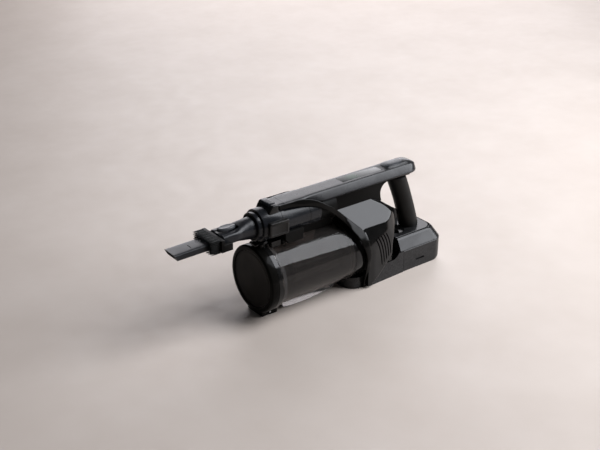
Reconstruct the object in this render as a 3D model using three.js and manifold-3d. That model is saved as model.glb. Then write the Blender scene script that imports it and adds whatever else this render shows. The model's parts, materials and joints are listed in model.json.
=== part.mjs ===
// A cordless handheld vacuum cleaner, as an assembly of its separate pieces.
// Millimetres, +Z up. The nozzle points along -X, the handle is at +X, and y = 0 is the plane of symmetry.
// The pieces are laid out from the front face of the bin lid (x = 0) and the surface the cleaner lies on
// (z = 0). The last lines move the whole assembly, so that its origin is the middle of its underside.

import * as THREE from "three";
import { mergeVertices } from "three/addons/utils/BufferGeometryUtils.js";
import Module from "manifold-3d";

const wasm = await Module();
wasm.setup();

// ---------------------------------------------------------------- driving dimensions

const GAP = 0.3; // clearance between neighbouring pieces
const ROUND = 32; // sides of a large round piece
const INNER_ROUND = 20; // sides of a round piece inside the casing
const SMALL_ROUND = 16; // sides of a small round piece

// dust bin and its lid
const BIN_AXIS_Z = 61;
const BIN_RADIUS = 51;
const BIN_INNER_RADIUS = 48.8;
const BIN_FRONT = 24;
const BIN_REAR = 168.2;
const BIN_RIM_RADIUS = 52.6;
const KEEL_REAR = 148.6;
const RING_REAR = 188;
const LID_RADIUS = 55;
const LID_DEPTH = 21.5;
const LID_PANEL_RADIUS = 46.2;
const HINGE_X = 21;
const HINGE_Z = 4.6;
const HINGE_RADIUS = 4.2;
const HINGE_HALF_WIDTH = 19;
const KNUCKLE_HALF_WIDTH = 9;
const LATCH_PIVOT_X = 13.5;
const LATCH_PIVOT_Z = 119;

// suction inlet and the tube behind it
const INLET_AXIS_Z = 150;
const INLET_BORE = 17.6;
const RIM_RADIUS = 22.5;
const COLLAR_RADIUS = 26;
const COLLAR_FRONT = 8.3;
const COLLAR_REAR = 49.7;
const DUCT_RADIUS = 24;
const DUCT_REAR = 150;

// spine: the beam along the top
const SPINE_FRONT = 52.6;
const SPINE_STRAIGHT_END = 305;
const SPINE_END = 328;
const SPINE_TOP = 181;
const SPINE_TOP_HALF = 15;
const SPINE_EDGE_Z = 168;
const SPINE_EDGE_HALF = 22;
const TAIL_UNDERSIDE = 158;
const TAIL_CROWN = 4.6;

// motor housing
const MOTOR_AXIS_Z = 66;
const COWL_RADIUS = 56;
const COWL_WALL = 3;
const COWL_FRONT = 195;
const DOME_START = 250;
const COWL_REAR = 280;
const DOCK_FRONT = 188.8;
const RIDGE_FRONT = 152.4;
const RIDGE_REAR = 236;
const RIDGE_TOP = 137;
const RIDGE_HALF = 11;
const NECK_HALF = 10.5;
const FAN_FRONT = 198.4;

// base, battery and grip
const BASE_FRONT = 201.2;
const FOOT_FRONT = 165;
const FOOT_HALF_WIDTH = 39.2;
const BASE_HALF_WIDTH = 42;
const BATTERY_FRONT = 279.4;
const BASE_REAR = 371;
const BASE_CORNER = 21;
const BATTERY_TOP = 39;
const COVER_TOP = 60.5;
const COVER_FRONT = 272.4;
const GRIP_TOP = { x: 294.6, z: 149.5 };
const GRIP_FOOT = { x: 322.5, z: 68 };
const GRIP_SEMI_X = 18;
const GRIP_SEMI_Y = 15.5;

// crevice nozzle and its brush
const SPIGOT_RADIUS = 17;
const SPIGOT_REAR = 28;
const NOZZLE_TIP = -141;
const NOZZLE_AXIS_Z = 150;
const BRUSH_BAR_X = -66;

// ---------------------------------------------------------------- helpers

const device = new THREE.Group();

// A closed geometry as a solid that can be joined and cut.
function solid(geometry) {
  const bare = geometry.clone();
  bare.deleteAttribute("normal");
  bare.deleteAttribute("uv");
  const merged = mergeVertices(bare, 1e-3);
  return new wasm.Manifold(
    new wasm.Mesh({
      numProp: 3,
      vertProperties: new Float32Array(merged.attributes.position.array),
      triVerts: new Uint32Array(merged.index.array),
    }),
  );
}

// A solid as a geometry that a mesh can show.
function geometryOf(body) {
  const mesh = body.getMesh();
  const positions = new Float32Array(mesh.numVert * 3);
  for (let i = 0; i < mesh.numVert; i++) {
    positions.set(mesh.vertProperties.subarray(i * mesh.numProp, i * mesh.numProp + 3), i * 3);
  }
  const geometry = new THREE.BufferGeometry();
  geometry.setAttribute("position", new THREE.BufferAttribute(positions, 3));
  geometry.setIndex(new THREE.BufferAttribute(new Uint32Array(mesh.triVerts), 1));
  geometry.computeVertexNormals();
  return geometry;
}

function finish(color, roughness, metalness = 0) {
  return { color, roughness, metalness };
}

const GLOSS_BLACK = finish(0x101012, 0.12);
const SATIN_GREY = finish(0x2e2e33, 0.38);
const MATTE_BLACK = finish(0x1b1b1d, 0.7);
const DUCT_GREY = finish(0x454a52, 0.3, 0.2);
const SMOKED_CLEAR = finish(0x56545a, 0.1);
const RUBBER = finish(0x202022, 0.85);
const STEEL = finish(0xb4b6ba, 0.3, 1);
const BOARD_GREEN = finish(0x1d4a33, 0.6);
const FILTER_WHITE = finish(0xd8d8d2, 0.9);
const CELL_BLUE = finish(0x2f5f8f, 0.4);

// Adds one named piece to the assembly. Its shape is a solid or a geometry.
function piece(name, shape, look) {
  const geometry = shape.isBufferGeometry ? shape : geometryOf(shape);
  const mesh = new THREE.Mesh(geometry, new THREE.MeshStandardMaterial(look));
  mesh.name = name;
  device.add(mesh);
  return mesh;
}

function box(x0, x1, y0, y1, z0, z1) {
  const geometry = new THREE.BoxGeometry(x1 - x0, y1 - y0, z1 - z0);
  geometry.translate((x0 + x1) / 2, (y0 + y1) / 2, (z0 + z1) / 2);
  return solid(geometry);
}

// A round piece turned about an axis along X at height axisZ. The profile lists [x, radius].
function turned(profile, axisZ, sides = ROUND) {
  const points = profile.map(([x, radius]) => new THREE.Vector2(radius, x));
  const onAxis = profile[0][1] === 0 && profile[profile.length - 1][1] === 0;
  if (!onAxis) points.push(points[0].clone());
  const geometry = new THREE.LatheGeometry(points, sides);
  geometry.rotateZ(-Math.PI / 2);
  geometry.translate(0, 0, axisZ);
  const made = solid(geometry);
  if (made.volume() > 0) return made;
  return turned([...profile].reverse(), axisZ, sides);
}

// A plain round bar along X.
function bar(x0, x1, radius, axisZ, sides = ROUND) {
  return turned([[x0, 0], [x0, radius], [x1, radius], [x1, 0]], axisZ, sides);
}

// A ring along X with a square section.
function ring(x0, x1, inner, outer, axisZ, sides = ROUND) {
  return turned([[x0, inner], [x0, outer], [x1, outer], [x1, inner]], axisZ, sides);
}

// A round bar along Y.
function crossBar(x, z, radius, y0, y1, sides = SMALL_ROUND) {
  const geometry = new THREE.CylinderGeometry(radius, radius, y1 - y0, sides);
  geometry.translate(x, (y0 + y1) / 2, z);
  return solid(geometry);
}

// A round bar along Z.
function upright(x, y, radius, z0, z1, sides = SMALL_ROUND) {
  const geometry = new THREE.CylinderGeometry(radius, radius, z1 - z0, sides);
  geometry.rotateX(Math.PI / 2);
  geometry.translate(x, y, (z0 + z1) / 2);
  return solid(geometry);
}

function shapeFrom(points) {
  const shape = new THREE.Shape();
  shape.moveTo(...points[0]);
  points.slice(1).forEach((point) => shape.lineTo(...point));
  shape.closePath();
  return shape;
}

// A side outline in X and Z, as a plate from y0 to y1. The bevel rounds the edges of both faces.
function sidePlate(shape, y0, y1, bevel = 0) {
  const geometry = new THREE.ExtrudeGeometry(shape, {
    depth: y1 - y0 - 2 * bevel,
    bevelEnabled: bevel > 0,
    bevelThickness: bevel,
    bevelSize: bevel,
    bevelOffset: -bevel,
    bevelSegments: 2,
    curveSegments: 8,
  });
  geometry.rotateX(Math.PI / 2);
  geometry.translate(0, y1 - bevel, 0);
  return solid(geometry);
}

// A plan outline in X and Y, as a plate from z0 to z1.
function planPlate(shape, z0, z1, bevel = 0) {
  const geometry = new THREE.ExtrudeGeometry(shape, {
    depth: z1 - z0 - 2 * bevel,
    bevelEnabled: bevel > 0,
    bevelThickness: bevel,
    bevelSize: bevel,
    bevelOffset: -bevel,
    bevelSegments: 2,
    curveSegments: 8,
  });
  geometry.translate(0, 0, z0 + bevel);
  return solid(geometry);
}

// A solid stretched through rings of points. Every ring has the same number of points.
function loft(rings) {
  const count = rings[0].length;
  const positions = rings.flat().flatMap((point) => [point.x, point.y, point.z]);
  const middles = [rings[0], rings[rings.length - 1]].map((points) => {
    const sum = points.reduce((total, point) => total.add(point), new THREE.Vector3());
    return sum.divideScalar(count);
  });
  middles.forEach((point) => positions.push(point.x, point.y, point.z));
  const firstMiddle = rings.length * count;
  const triangles = [];
  for (let i = 0; i < count; i++) {
    const next = (i + 1) % count;
    for (let k = 0; k < rings.length - 1; k++) {
      const a = k * count + i;
      const b = k * count + next;
      triangles.push(a, b, a + count, b, b + count, a + count);
    }
    const last = (rings.length - 1) * count;
    triangles.push(firstMiddle, next, i, firstMiddle + 1, last + i, last + next);
  }
  const geometry = new THREE.BufferGeometry();
  geometry.setAttribute("position", new THREE.BufferAttribute(new Float32Array(positions), 3));
  geometry.setIndex(triangles);
  const made = solid(geometry);
  return made.volume() > 0 ? made : loft([...rings].reverse());
}

// A ring of points across X: a rounded rectangle when power is over 2, an ellipse when it is 2.
function crossSection(x, halfWidth, halfHeight, centreZ, power = 2, count = 24) {
  return Array.from({ length: count }, (_, i) => {
    const angle = ((i + 0.5) / count) * 2 * Math.PI;
    const across = Math.sign(Math.cos(angle)) * Math.abs(Math.cos(angle)) ** (2 / power);
    const up = Math.sign(Math.sin(angle)) * Math.abs(Math.sin(angle)) ** (2 / power);
    return new THREE.Vector3(x, halfWidth * across, centreZ + halfHeight * up);
  });
}

// A level ellipse of points.
function levelEllipse(x, z, semiX, semiY, count = 24) {
  return Array.from({ length: count }, (_, i) => {
    const angle = (i / count) * 2 * Math.PI;
    return new THREE.Vector3(x + semiX * Math.cos(angle), semiY * Math.sin(angle), z);
  });
}

function smoothstep(from, to, value) {
  const t = Math.min(1, Math.max(0, (value - from) / (to - from)));
  return t * t * (3 - 2 * t);
}

// The same solid on the other side of the plane of symmetry.
function mirrored(body) {
  const mesh = body.getMesh();
  const positions = new Float32Array(mesh.vertProperties);
  for (let i = 1; i < positions.length; i += mesh.numProp) positions[i] *= -1;
  const triVerts = new Uint32Array(mesh.triVerts);
  for (let i = 0; i < triVerts.length; i += 3) {
    const kept = triVerts[i];
    triVerts[i] = triVerts[i + 1];
    triVerts[i + 1] = kept;
  }
  return new wasm.Manifold(
    new wasm.Mesh({ numProp: mesh.numProp, vertProperties: positions, triVerts }),
  );
}

// ---------------------------------------------------------------- dust bin

// The clear cylinder, with a thick front rim, a low keel underneath and the dirty-air mouth on top.
function buildBinShell() {
  const wall = turned(
    [
      [BIN_FRONT, BIN_INNER_RADIUS],
      [BIN_FRONT, BIN_RIM_RADIUS],
      [BIN_FRONT + 6, BIN_RIM_RADIUS],
      [BIN_FRONT + 6.6, BIN_RADIUS],
      [BIN_REAR, BIN_RADIUS],
      [BIN_REAR, BIN_INNER_RADIUS],
    ],
    BIN_AXIS_Z,
  );
  const keelOutline = new THREE.Shape();
  keelOutline.moveTo(40, 18);
  keelOutline.lineTo(47, 3.4);
  keelOutline.quadraticCurveTo(92, -2.4, KEEL_REAR, 8);
  keelOutline.lineTo(KEEL_REAR, 18);
  keelOutline.closePath();
  const keel = sidePlate(keelOutline, -HINGE_HALF_WIDTH, HINGE_HALF_WIDTH);

  const hingeOutline = new THREE.Shape();
  hingeOutline.moveTo(34, 0);
  hingeOutline.lineTo(34, 16);
  hingeOutline.lineTo(26.5, 16);
  hingeOutline.lineTo(26.5, 0);
  hingeOutline.closePath();
  let hinge = sidePlate(hingeOutline, -HINGE_HALF_WIDTH, HINGE_HALF_WIDTH);
  for (const side of [-1, 1]) {
    const inner = side * (KNUCKLE_HALF_WIDTH + GAP);
    const outer = side * HINGE_HALF_WIDTH;
    const y0 = Math.min(inner, outer);
    const y1 = Math.max(inner, outer);
    hinge = hinge.add(crossBar(HINGE_X, HINGE_Z, HINGE_RADIUS, y0, y1));
    hinge = hinge.add(box(HINGE_X, 28, y0, y1, HINGE_Z - HINGE_RADIUS, HINGE_Z + 3.4));
  }

  const catchRidge = box(BIN_FRONT, 27, -9, 9, 110, 116.2);
  const inside = bar(BIN_FRONT - 1, BIN_REAR + 1, BIN_INNER_RADIUS + 0.2, BIN_AXIS_Z);
  const added = keel.add(hinge).add(catchRidge).subtract(inside);
  const mouth = box(52, 76, -12, 12, 95, 116);
  const knuckleRoom = crossBar(HINGE_X, HINGE_Z, HINGE_RADIUS + 0.6, -KNUCKLE_HALF_WIDTH - GAP, KNUCKLE_HALF_WIDTH + GAP);
  const pinHole = crossBar(HINGE_X, HINGE_Z, 1.9, -HINGE_HALF_WIDTH - 1, HINGE_HALF_WIDTH + 1, 12);
  return wall.add(added).subtract(mouth).subtract(knuckleRoom).subtract(pinHole);
}

function buildBin() {
  piece("bin_shell", buildBinShell(), SMOKED_CLEAR);

  const rearRing = turned(
    [
      [BIN_REAR + GAP, 46.8],
      [BIN_REAR + GAP, BIN_RADIUS],
      [RING_REAR - 2, BIN_RADIUS],
      [RING_REAR, 48.6],
      [RING_REAR + 4, 48.6],
      [RING_REAR + 4, 46.8],
    ],
    BIN_AXIS_Z,
  );
  piece("bin_rear_ring", rearRing, GLOSS_BLACK);
  piece("bin_rear_seal", ring(192.3, 193.9, 44.5, 48.2, BIN_AXIS_Z, INNER_ROUND), RUBBER);

  const block = box(29, 46, -14, 14, 104, 121).subtract(
    bar(20, 60, BIN_RIM_RADIUS + GAP, BIN_AXIS_Z),
  );
  piece("bin_top_block", block, GLOSS_BLACK);

  piece("cyclone_shroud", ring(66, 158, 25.5, 27, BIN_AXIS_Z, INNER_ROUND), STEEL);
  const endCap = turned([[58, 0], [58, 18], [61, 25], [65.7, 27], [65.7, 0]], BIN_AXIS_Z, INNER_ROUND);
  piece("shroud_end_cap", endCap, MATTE_BLACK);
  piece("cyclone_flange", ring(158.3, 161.3, 22, 48.3, BIN_AXIS_Z, 32), MATTE_BLACK);
  piece("pre_motor_filter", ring(170, 184, 12, 46, BIN_AXIS_Z, INNER_ROUND), FILTER_WHITE);
}

// ---------------------------------------------------------------- lid, its hinge and its latch

function buildLid() {
  const shell = turned(
    [
      [3, 0],
      [3, LID_PANEL_RADIUS + GAP],
      [0.3, LID_PANEL_RADIUS + 0.5],
      [0, 48],
      [0, 52.5],
      [1, 54.2],
      [2.5, LID_RADIUS],
      [LID_DEPTH, LID_RADIUS],
      [LID_DEPTH, 52.6],
      [7.5, 52],
      [5.5, 49],
      [5.5, 0],
    ],
    BIN_AXIS_Z,
  );
  const blockOutline = shapeFrom([[5, 0.6], [14.6, 0.6], [16.2, 2.2], [16.2, 12], [5, 12]]);
  const block = sidePlate(blockOutline, -HINGE_HALF_WIDTH, HINGE_HALF_WIDTH);
  const knuckle = crossBar(HINGE_X, HINGE_Z, HINGE_RADIUS, -KNUCKLE_HALF_WIDTH, KNUCKLE_HALF_WIDTH);
  const bridge = box(
    15,
    HINGE_X,
    -KNUCKLE_HALF_WIDTH,
    KNUCKLE_HALF_WIDTH,
    HINGE_Z - HINGE_RADIUS + 0.4,
    HINGE_Z + 3.4,
  );
  const ears = box(9, 18, -12, -9, 108, 121.5).add(box(9, 18, 9, 12, 108, 121.5));
  const hollow = bar(5.6, LID_DEPTH + 1, 52, BIN_AXIS_Z);
  let lid = shell.add(block.add(ears).subtract(hollow)).add(knuckle).add(bridge);
  for (const side of [-1, 1]) {
    const inner = side * KNUCKLE_HALF_WIDTH;
    const outer = side * (HINGE_HALF_WIDTH + 1);
    const room = crossBar(
      HINGE_X,
      HINGE_Z,
      HINGE_RADIUS + 0.5,
      Math.min(inner, outer),
      Math.max(inner, outer),
    );
    lid = lid.subtract(room);
  }
  const pinHole = crossBar(HINGE_X, HINGE_Z, 1.9, -HINGE_HALF_WIDTH, HINGE_HALF_WIDTH, 12);
  const trunnionHoles = crossBar(LATCH_PIVOT_X, LATCH_PIVOT_Z, 1.6, -13, 13, 12);
  piece("bin_lid", lid.subtract(pinHole).subtract(trunnionHoles), GLOSS_BLACK);

  const panel = turned(
    [[0.9, 0], [0.9, 45], [1.3, LID_PANEL_RADIUS], [2.7, LID_PANEL_RADIUS], [2.7, 0]],
    BIN_AXIS_Z,
  );
  piece("lid_panel", panel, MATTE_BLACK);
  piece("lid_seal", ring(19, BIN_FRONT - 0.4, 48.6, 51.4, BIN_AXIS_Z, 32), RUBBER);
  piece("lid_hinge_pin", crossBar(HINGE_X, HINGE_Z, 1.6, -18.6, 18.6, 12), STEEL);
}

// A rocker across the top of the lid: its front is pressed and its rear end lifts off the catch.
function buildLatch() {
  const outline = shapeFrom([
    [3, 117.8],
    [2.4, 121],
    [6, 122.4],
    [22, 122.4],
    [27, 121.2],
    [27, 116.6],
    [21, 116.6],
    [19, 117.6],
  ]);
  const lever = sidePlate(outline, -8.6, 8.6, 0.8);
  const trunnions = crossBar(LATCH_PIVOT_X, LATCH_PIVOT_Z, 1.3, -11.8, 11.8, 12);
  piece("lid_latch", lever.add(trunnions), GLOSS_BLACK);
}

// ---------------------------------------------------------------- suction inlet

function buildInlet() {
  const rim = turned(
    [[0.5, 20.6], [0.5, 21.6], [1.4, RIM_RADIUS], [COLLAR_FRONT - GAP, RIM_RADIUS], [COLLAR_FRONT - GAP, 20.6]],
    INLET_AXIS_Z,
  );
  piece("inlet_rim", rim, DUCT_GREY);
  piece("inlet_seal", ring(1.5, 7.6, INLET_BORE, 20.2, INLET_AXIS_Z, 32), RUBBER);

  const collar = turned(
    [
      [COLLAR_FRONT, 21.8],
      [COLLAR_FRONT, 25.2],
      [COLLAR_FRONT + 0.8, COLLAR_RADIUS],
      [COLLAR_REAR - 0.5, COLLAR_RADIUS],
      [COLLAR_REAR, 25.5],
      [COLLAR_REAR, 21.8],
    ],
    INLET_AXIS_Z,
  );
  piece("inlet_collar", collar, DUCT_GREY);

  const duct = turned(
    [
      [DUCT_REAR - 3, 0],
      [DUCT_REAR - 3, 21],
      [42, 21],
      [40, INLET_BORE],
      [COLLAR_FRONT, INLET_BORE],
      [COLLAR_FRONT, 21.5],
      [COLLAR_REAR + 0.6, 21.5],
      [COLLAR_REAR + 0.6, DUCT_RADIUS],
      [DUCT_REAR, DUCT_RADIUS],
      [DUCT_REAR, 0],
    ],
    INLET_AXIS_Z,
  );
  piece("inlet_duct", duct.subtract(box(55, 73, -9, 9, 120, 145)), DUCT_GREY);

  const coverOutline = shapeFrom([[15, 140], [15, 159], [17, 161], [50, 161], [50, 140], [48, 138], [17, 138]]);
  const cover = sidePlate(coverOutline, -31, -18, 1).subtract(
    bar(0, 60, COLLAR_RADIUS + GAP, INLET_AXIS_Z),
  );
  piece("inlet_side_cover_right", cover, DUCT_GREY);
  piece("inlet_side_cover_left", mirrored(cover), DUCT_GREY);
}

// The saddle that carries the dirty air from the duct down into the bin, with a web behind it.
function buildCyclonePort() {
  const outline = shapeFrom([[46.4, 136], [46.4, 124], [52, 117], [79, 117], [81, 119], [81, 136]]);
  const neck = box(49, 79, -14.5, 14.5, 112.4, 118);
  const web = box(79, RIDGE_FRONT - GAP, -5, 5, 113, 128);
  const passage = box(55, 73, -9, 9, 100, 140);
  const port = sidePlate(outline, -26, 26, 1)
    .add(neck)
    .add(web)
    .subtract(bar(40, 151, DUCT_RADIUS + GAP, INLET_AXIS_Z))
    .subtract(bar(40, 50.6, COLLAR_RADIUS + GAP, INLET_AXIS_Z))
    .subtract(passage);
  piece("cyclone_port", port, MATTE_BLACK);
}

// ---------------------------------------------------------------- spine

// The height and half-width of the spine cap's lower edge. At the front the side band covers the flank.
function spineEdge(x) {
  const t = smoothstep(88, 126, x);
  return {
    half: 16.2 + (SPINE_EDGE_HALF - 16.2) * t,
    z: 176.5 + (SPINE_EDGE_Z - 176.5) * t,
  };
}

// How far the middle of the top swells round the power button.
function tailCrown(x) {
  return TAIL_CROWN * smoothstep(253, 272, x) * (1 - smoothstep(302, SPINE_END, x));
}

// One section of the spine cap. The rear end is rounded in plan and drops at its tip.
function spineSection(x) {
  const edge = spineEdge(x);
  const past = Math.max(0, (x - SPINE_STRAIGHT_END) / (SPINE_END - SPINE_STRAIGHT_END));
  const shrink = Math.sqrt(Math.max(0.02, 1 - past * past));
  const drop = 7 * past ** 3;
  const half = SPINE_TOP_HALF * shrink;
  const edgeHalf = edge.half * shrink;
  const side = [
    [edgeHalf - 1.6 * shrink, edge.z - 2.4],
    [edgeHalf, edge.z],
    [half + 0.6 * shrink, SPINE_TOP - 1.6 - drop],
    [half - 1.6 * shrink, SPINE_TOP - 0.3 - drop],
    [half * 0.72, SPINE_TOP - drop + 0.55 * tailCrown(x)],
    [half * 0.34, SPINE_TOP - drop + tailCrown(x)],
  ];
  const left = side.map(([y, z]) => new THREE.Vector3(x, y, z));
  const right = [...side].reverse().map(([y, z]) => new THREE.Vector3(x, -y, z));
  return [...left, ...right];
}

function spineLoft(x0, x1) {
  const stations = [x0];
  for (let x = 60; x < x1; x += x < 90 || (x > 130 && x < 240) ? 56 : 8) {
    if (x > x0 + 2) stations.push(x);
  }
  for (const share of [0, 0.3, 0.55, 0.75, 0.9, 0.97]) {
    const x = SPINE_STRAIGHT_END + share * (SPINE_END - SPINE_STRAIGHT_END);
    if (x < x1 && x > stations[stations.length - 1] + 1) stations.push(x);
  }
  stations.push(x1);
  return loft(stations.map(spineSection));
}

function buildSpineCap() {
  const ductRoom = bar(40, DUCT_REAR + 2, DUCT_RADIUS + GAP + 0.2, INLET_AXIS_Z);
  const windowSeat = box(171.7, 254.3, -9.3, 9.3, 179.2, 190);
  const boardPocket = box(166, 262, -12, 12, 160, 177);
  const buttonHole = upright(0, 0, 1, 160, 190, 32)
    .scale([20.9, 11.4, 1])
    .translate([281, 0, 0]);
  const cap = spineLoft(SPINE_FRONT, SPINE_END)
    .subtract(ductRoom)
    .subtract(windowSeat)
    .subtract(boardPocket)
    .subtract(buttonHole);
  piece("spine_cap", cap, SATIN_GREY);

  const trim = spineLoft(41.6, SPINE_FRONT - 0.4).subtract(
    bar(40, 60, COLLAR_RADIUS + GAP, INLET_AXIS_Z),
  );
  piece("spine_trim", trim, SATIN_GREY);

  const windowOutline = shapeFrom([
    [172, -7], [174, -9], [252, -9], [254, -7], [254, 7], [252, 9], [174, 9], [172, 7],
  ]);
  piece("display_window", planPlate(windowOutline, 179.5, 181.2), GLOSS_BLACK);
  piece("display_board", box(170, 258, -10.5, 10.5, 173, 174.6), BOARD_GREEN);
}

// The oval power button, crowned, with a stem that reaches down to its spring.
function buildPowerButton() {
  const centreX = 281;
  const crown = loft([
    levelEllipse(centreX, 174, 20.5, 11, 28),
    levelEllipse(centreX, 185.2, 20.5, 11, 28),
    levelEllipse(centreX, 186.6, 19.4, 10, 28),
    levelEllipse(centreX, 187.4, 15, 7, 28),
    levelEllipse(centreX, 187.8, 8, 3, 28),
  ]);
  piece("power_button", crown, GLOSS_BLACK);

  const turns = 3;
  class Coil extends THREE.Curve {
    getPoint(t) {
      const angle = 2 * Math.PI * turns * t;
      return new THREE.Vector3(centreX + 4 * Math.cos(angle), 4 * Math.sin(angle), 166.2 + 6.9 * t);
    }
  }
  const wire = new THREE.Shape();
  wire.absarc(0, 0, 0.45, 0, 2 * Math.PI);
  const spring = new THREE.ExtrudeGeometry(wire, {
    steps: 10 * turns,
    curveSegments: 3,
    extrudePath: new Coil(),
  });
  piece("power_button_spring", solid(spring), STEEL);
}

// The housing over the inlet collar, and the button in its top that lets the wand or nozzle go.
function buildHood() {
  const outline = shapeFrom([[21, 166], [22, 172], [27.5, 181.2], [30, 182.6], [41.2, 182.6], [41.2, 166]]);
  const pocket = box(24.9, 39.3, -10.4, 10.4, 178.3, 190);
  const hood = sidePlate(outline, -17.4, 17.4, 3)
    .subtract(bar(10, 60, COLLAR_RADIUS + GAP, INLET_AXIS_Z))
    .subtract(pocket);
  piece("hood", hood, GLOSS_BLACK);

  const button = shapeFrom([[25.2, 180.1], [26.7, 182.8], [29, 184], [37.6, 184], [39, 183], [39, 180.1]]);
  piece("wand_release_button", sidePlate(button, -10.1, 10.1, 0.8), SATIN_GREY);
}

// The handle frame under the cap: neck, tail over the grip. Two shells meet on the plane of symmetry.
function buildSpineFrame() {
  const outline = new THREE.Shape();
  outline.moveTo(RIDGE_FRONT, 165);
  outline.lineTo(314, 165);
  outline.lineTo(314, TAIL_UNDERSIDE);
  outline.lineTo(264, TAIL_UNDERSIDE);
  outline.quadraticCurveTo(251.5, 155, 250.5, 142);
  outline.quadraticCurveTo(250.4, 134, 255, 122);
  outline.lineTo(RIDGE_FRONT, 122);
  outline.closePath();
  const whole = sidePlate(outline, -NECK_HALF, NECK_HALF, 0)
    .subtract(cowlBody(GAP))
    .subtract(box(180, 240, -9, 9, 142, 158));
  piece("spine_frame_right", whole.intersect(box(140, 340, -40, -0.15, 90, 190)), MATTE_BLACK);
  piece("spine_frame_left", whole.intersect(box(140, 340, 0.15, 40, 90, 190)), MATTE_BLACK);
}

// ---------------------------------------------------------------- side bands

// The half-width of the band's outer face at a height: round the barrel, up its flank and beside the duct.
function bandHalfWidth(z) {
  const outer = COWL_RADIUS + 2.4;
  const flankFoot = 105.6;
  const footHalf = Math.sqrt(outer ** 2 - (flankFoot - MOTOR_AXIS_Z) ** 2);
  if (z > flankFoot) {
    const flank = footHalf - 0.923 * (z - flankFoot);
    return Math.max(flank, 27.4 - 3 * smoothstep(150, 168, z));
  }
  const curlStart = 34;
  const low = Math.max(z, curlStart);
  const onBarrel = Math.sqrt(outer ** 2 - (low - MOTOR_AXIS_Z) ** 2);
  return z < curlStart ? onBarrel - 0.006 * (curlStart - z) ** 2 : onBarrel;
}

// A band from the hood along the spine, round behind the bin and down to the floor.
function buildSideBand() {
  const rearRail = new THREE.CatmullRomCurve3(
    [
      [41.6, 182], [60, 181.4], [82, 181], [106, 173.5], [128, 160], [146, 146], [165, 129],
      [180, 114], [188, 100], [191.6, 86], [193.6, 70], [196, 54], [199, 34], [200.2, 18], [200.4, 0],
    ].map(([x, z]) => new THREE.Vector3(x, 0, z)),
  );
  const frontRail = new THREE.CatmullRomCurve3(
    [
      [41.6, 173], [65, 172], [88, 168.6], [112, 160.5], [133, 147], [150, 132], [163, 118],
      [170, 105], [176, 91], [181, 79], [185, 66], [188, 52], [190, 35], [190.4, 18], [190.4, 0],
    ].map(([x, z]) => new THREE.Vector3(x, 0, z)),
  );
  const steps = 22;
  const thickness = 1.6;
  const stations = [];
  for (let i = 0; i <= steps; i++) {
    const pair = [rearRail.getPoint(i / steps), frontRail.getPoint(i / steps)];
    const outerPoints = pair.map((point, k) => {
      const leaving = smoothstep(88, 126, point.x);
      const besideSpine =
        k === 0 ? spineEdge(point.x).half + 2.5 : 18.6 + 4.4 * smoothstep(42, 100, point.x);
      const half = besideSpine + (bandHalfWidth(point.z) - besideSpine) * leaving;
      return new THREE.Vector3(point.x, -half, point.z);
    });
    stations.push(outerPoints);
  }
  const rings = stations.map(([rear, front], i) => {
    const before = stations[Math.max(0, i - 1)];
    const after = stations[Math.min(steps, i + 1)];
    const along = after[0].clone().add(after[1]).sub(before[0]).sub(before[1]).normalize();
    const across = front.clone().sub(rear).normalize();
    const inward = new THREE.Vector3().crossVectors(along, across).normalize();
    if (inward.y < 0) inward.negate();
    const offset = inward.multiplyScalar(thickness);
    return [rear, front, front.clone().add(offset), rear.clone().add(offset)];
  });
  return loft(rings);
}

function buildBands() {
  const floor = box(100, 300, -100, 100, -20, 0.6);
  const band = buildSideBand().subtract(floor);
  piece("side_band_right", band, GLOSS_BLACK);
  piece("side_band_left", mirrored(band), GLOSS_BLACK);
}

// ---------------------------------------------------------------- motor housing and motor

// The outside of the barrel of the motor housing, grown by an offset, with a full-shouldered rear end.
function cowlProfile(offset, front) {
  const radius = COWL_RADIUS + offset;
  const depth = COWL_REAR - DOME_START + offset;
  const points = [[front, radius]];
  const steps = 9;
  for (let i = 0; i <= steps; i++) {
    const angle = (i / steps) * (Math.PI / 2);
    const atEnd = i === steps;
    const along = Math.sin(angle) ** 0.77;
    points.push([DOME_START + depth * along, atEnd ? 0 : radius * Math.cos(angle) ** 0.77]);
  }
  return points;
}

function cowlSolid(offset, front) {
  return turned([[front, 0], ...cowlProfile(offset, front)], MOTOR_AXIS_Z);
}

// The barrel with flat flanks that rise from its shoulders to the ridge under the neck.
function cowlBody(offset) {
  const ridge = box(
    RIDGE_FRONT - offset,
    RIDGE_REAR + offset,
    -RIDGE_HALF - offset,
    RIDGE_HALF + offset,
    RIDGE_TOP - 20,
    RIDGE_TOP + offset,
  );
  return wasm.Manifold.hull([cowlSolid(offset, RIDGE_FRONT - offset), ridge]);
}

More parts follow.
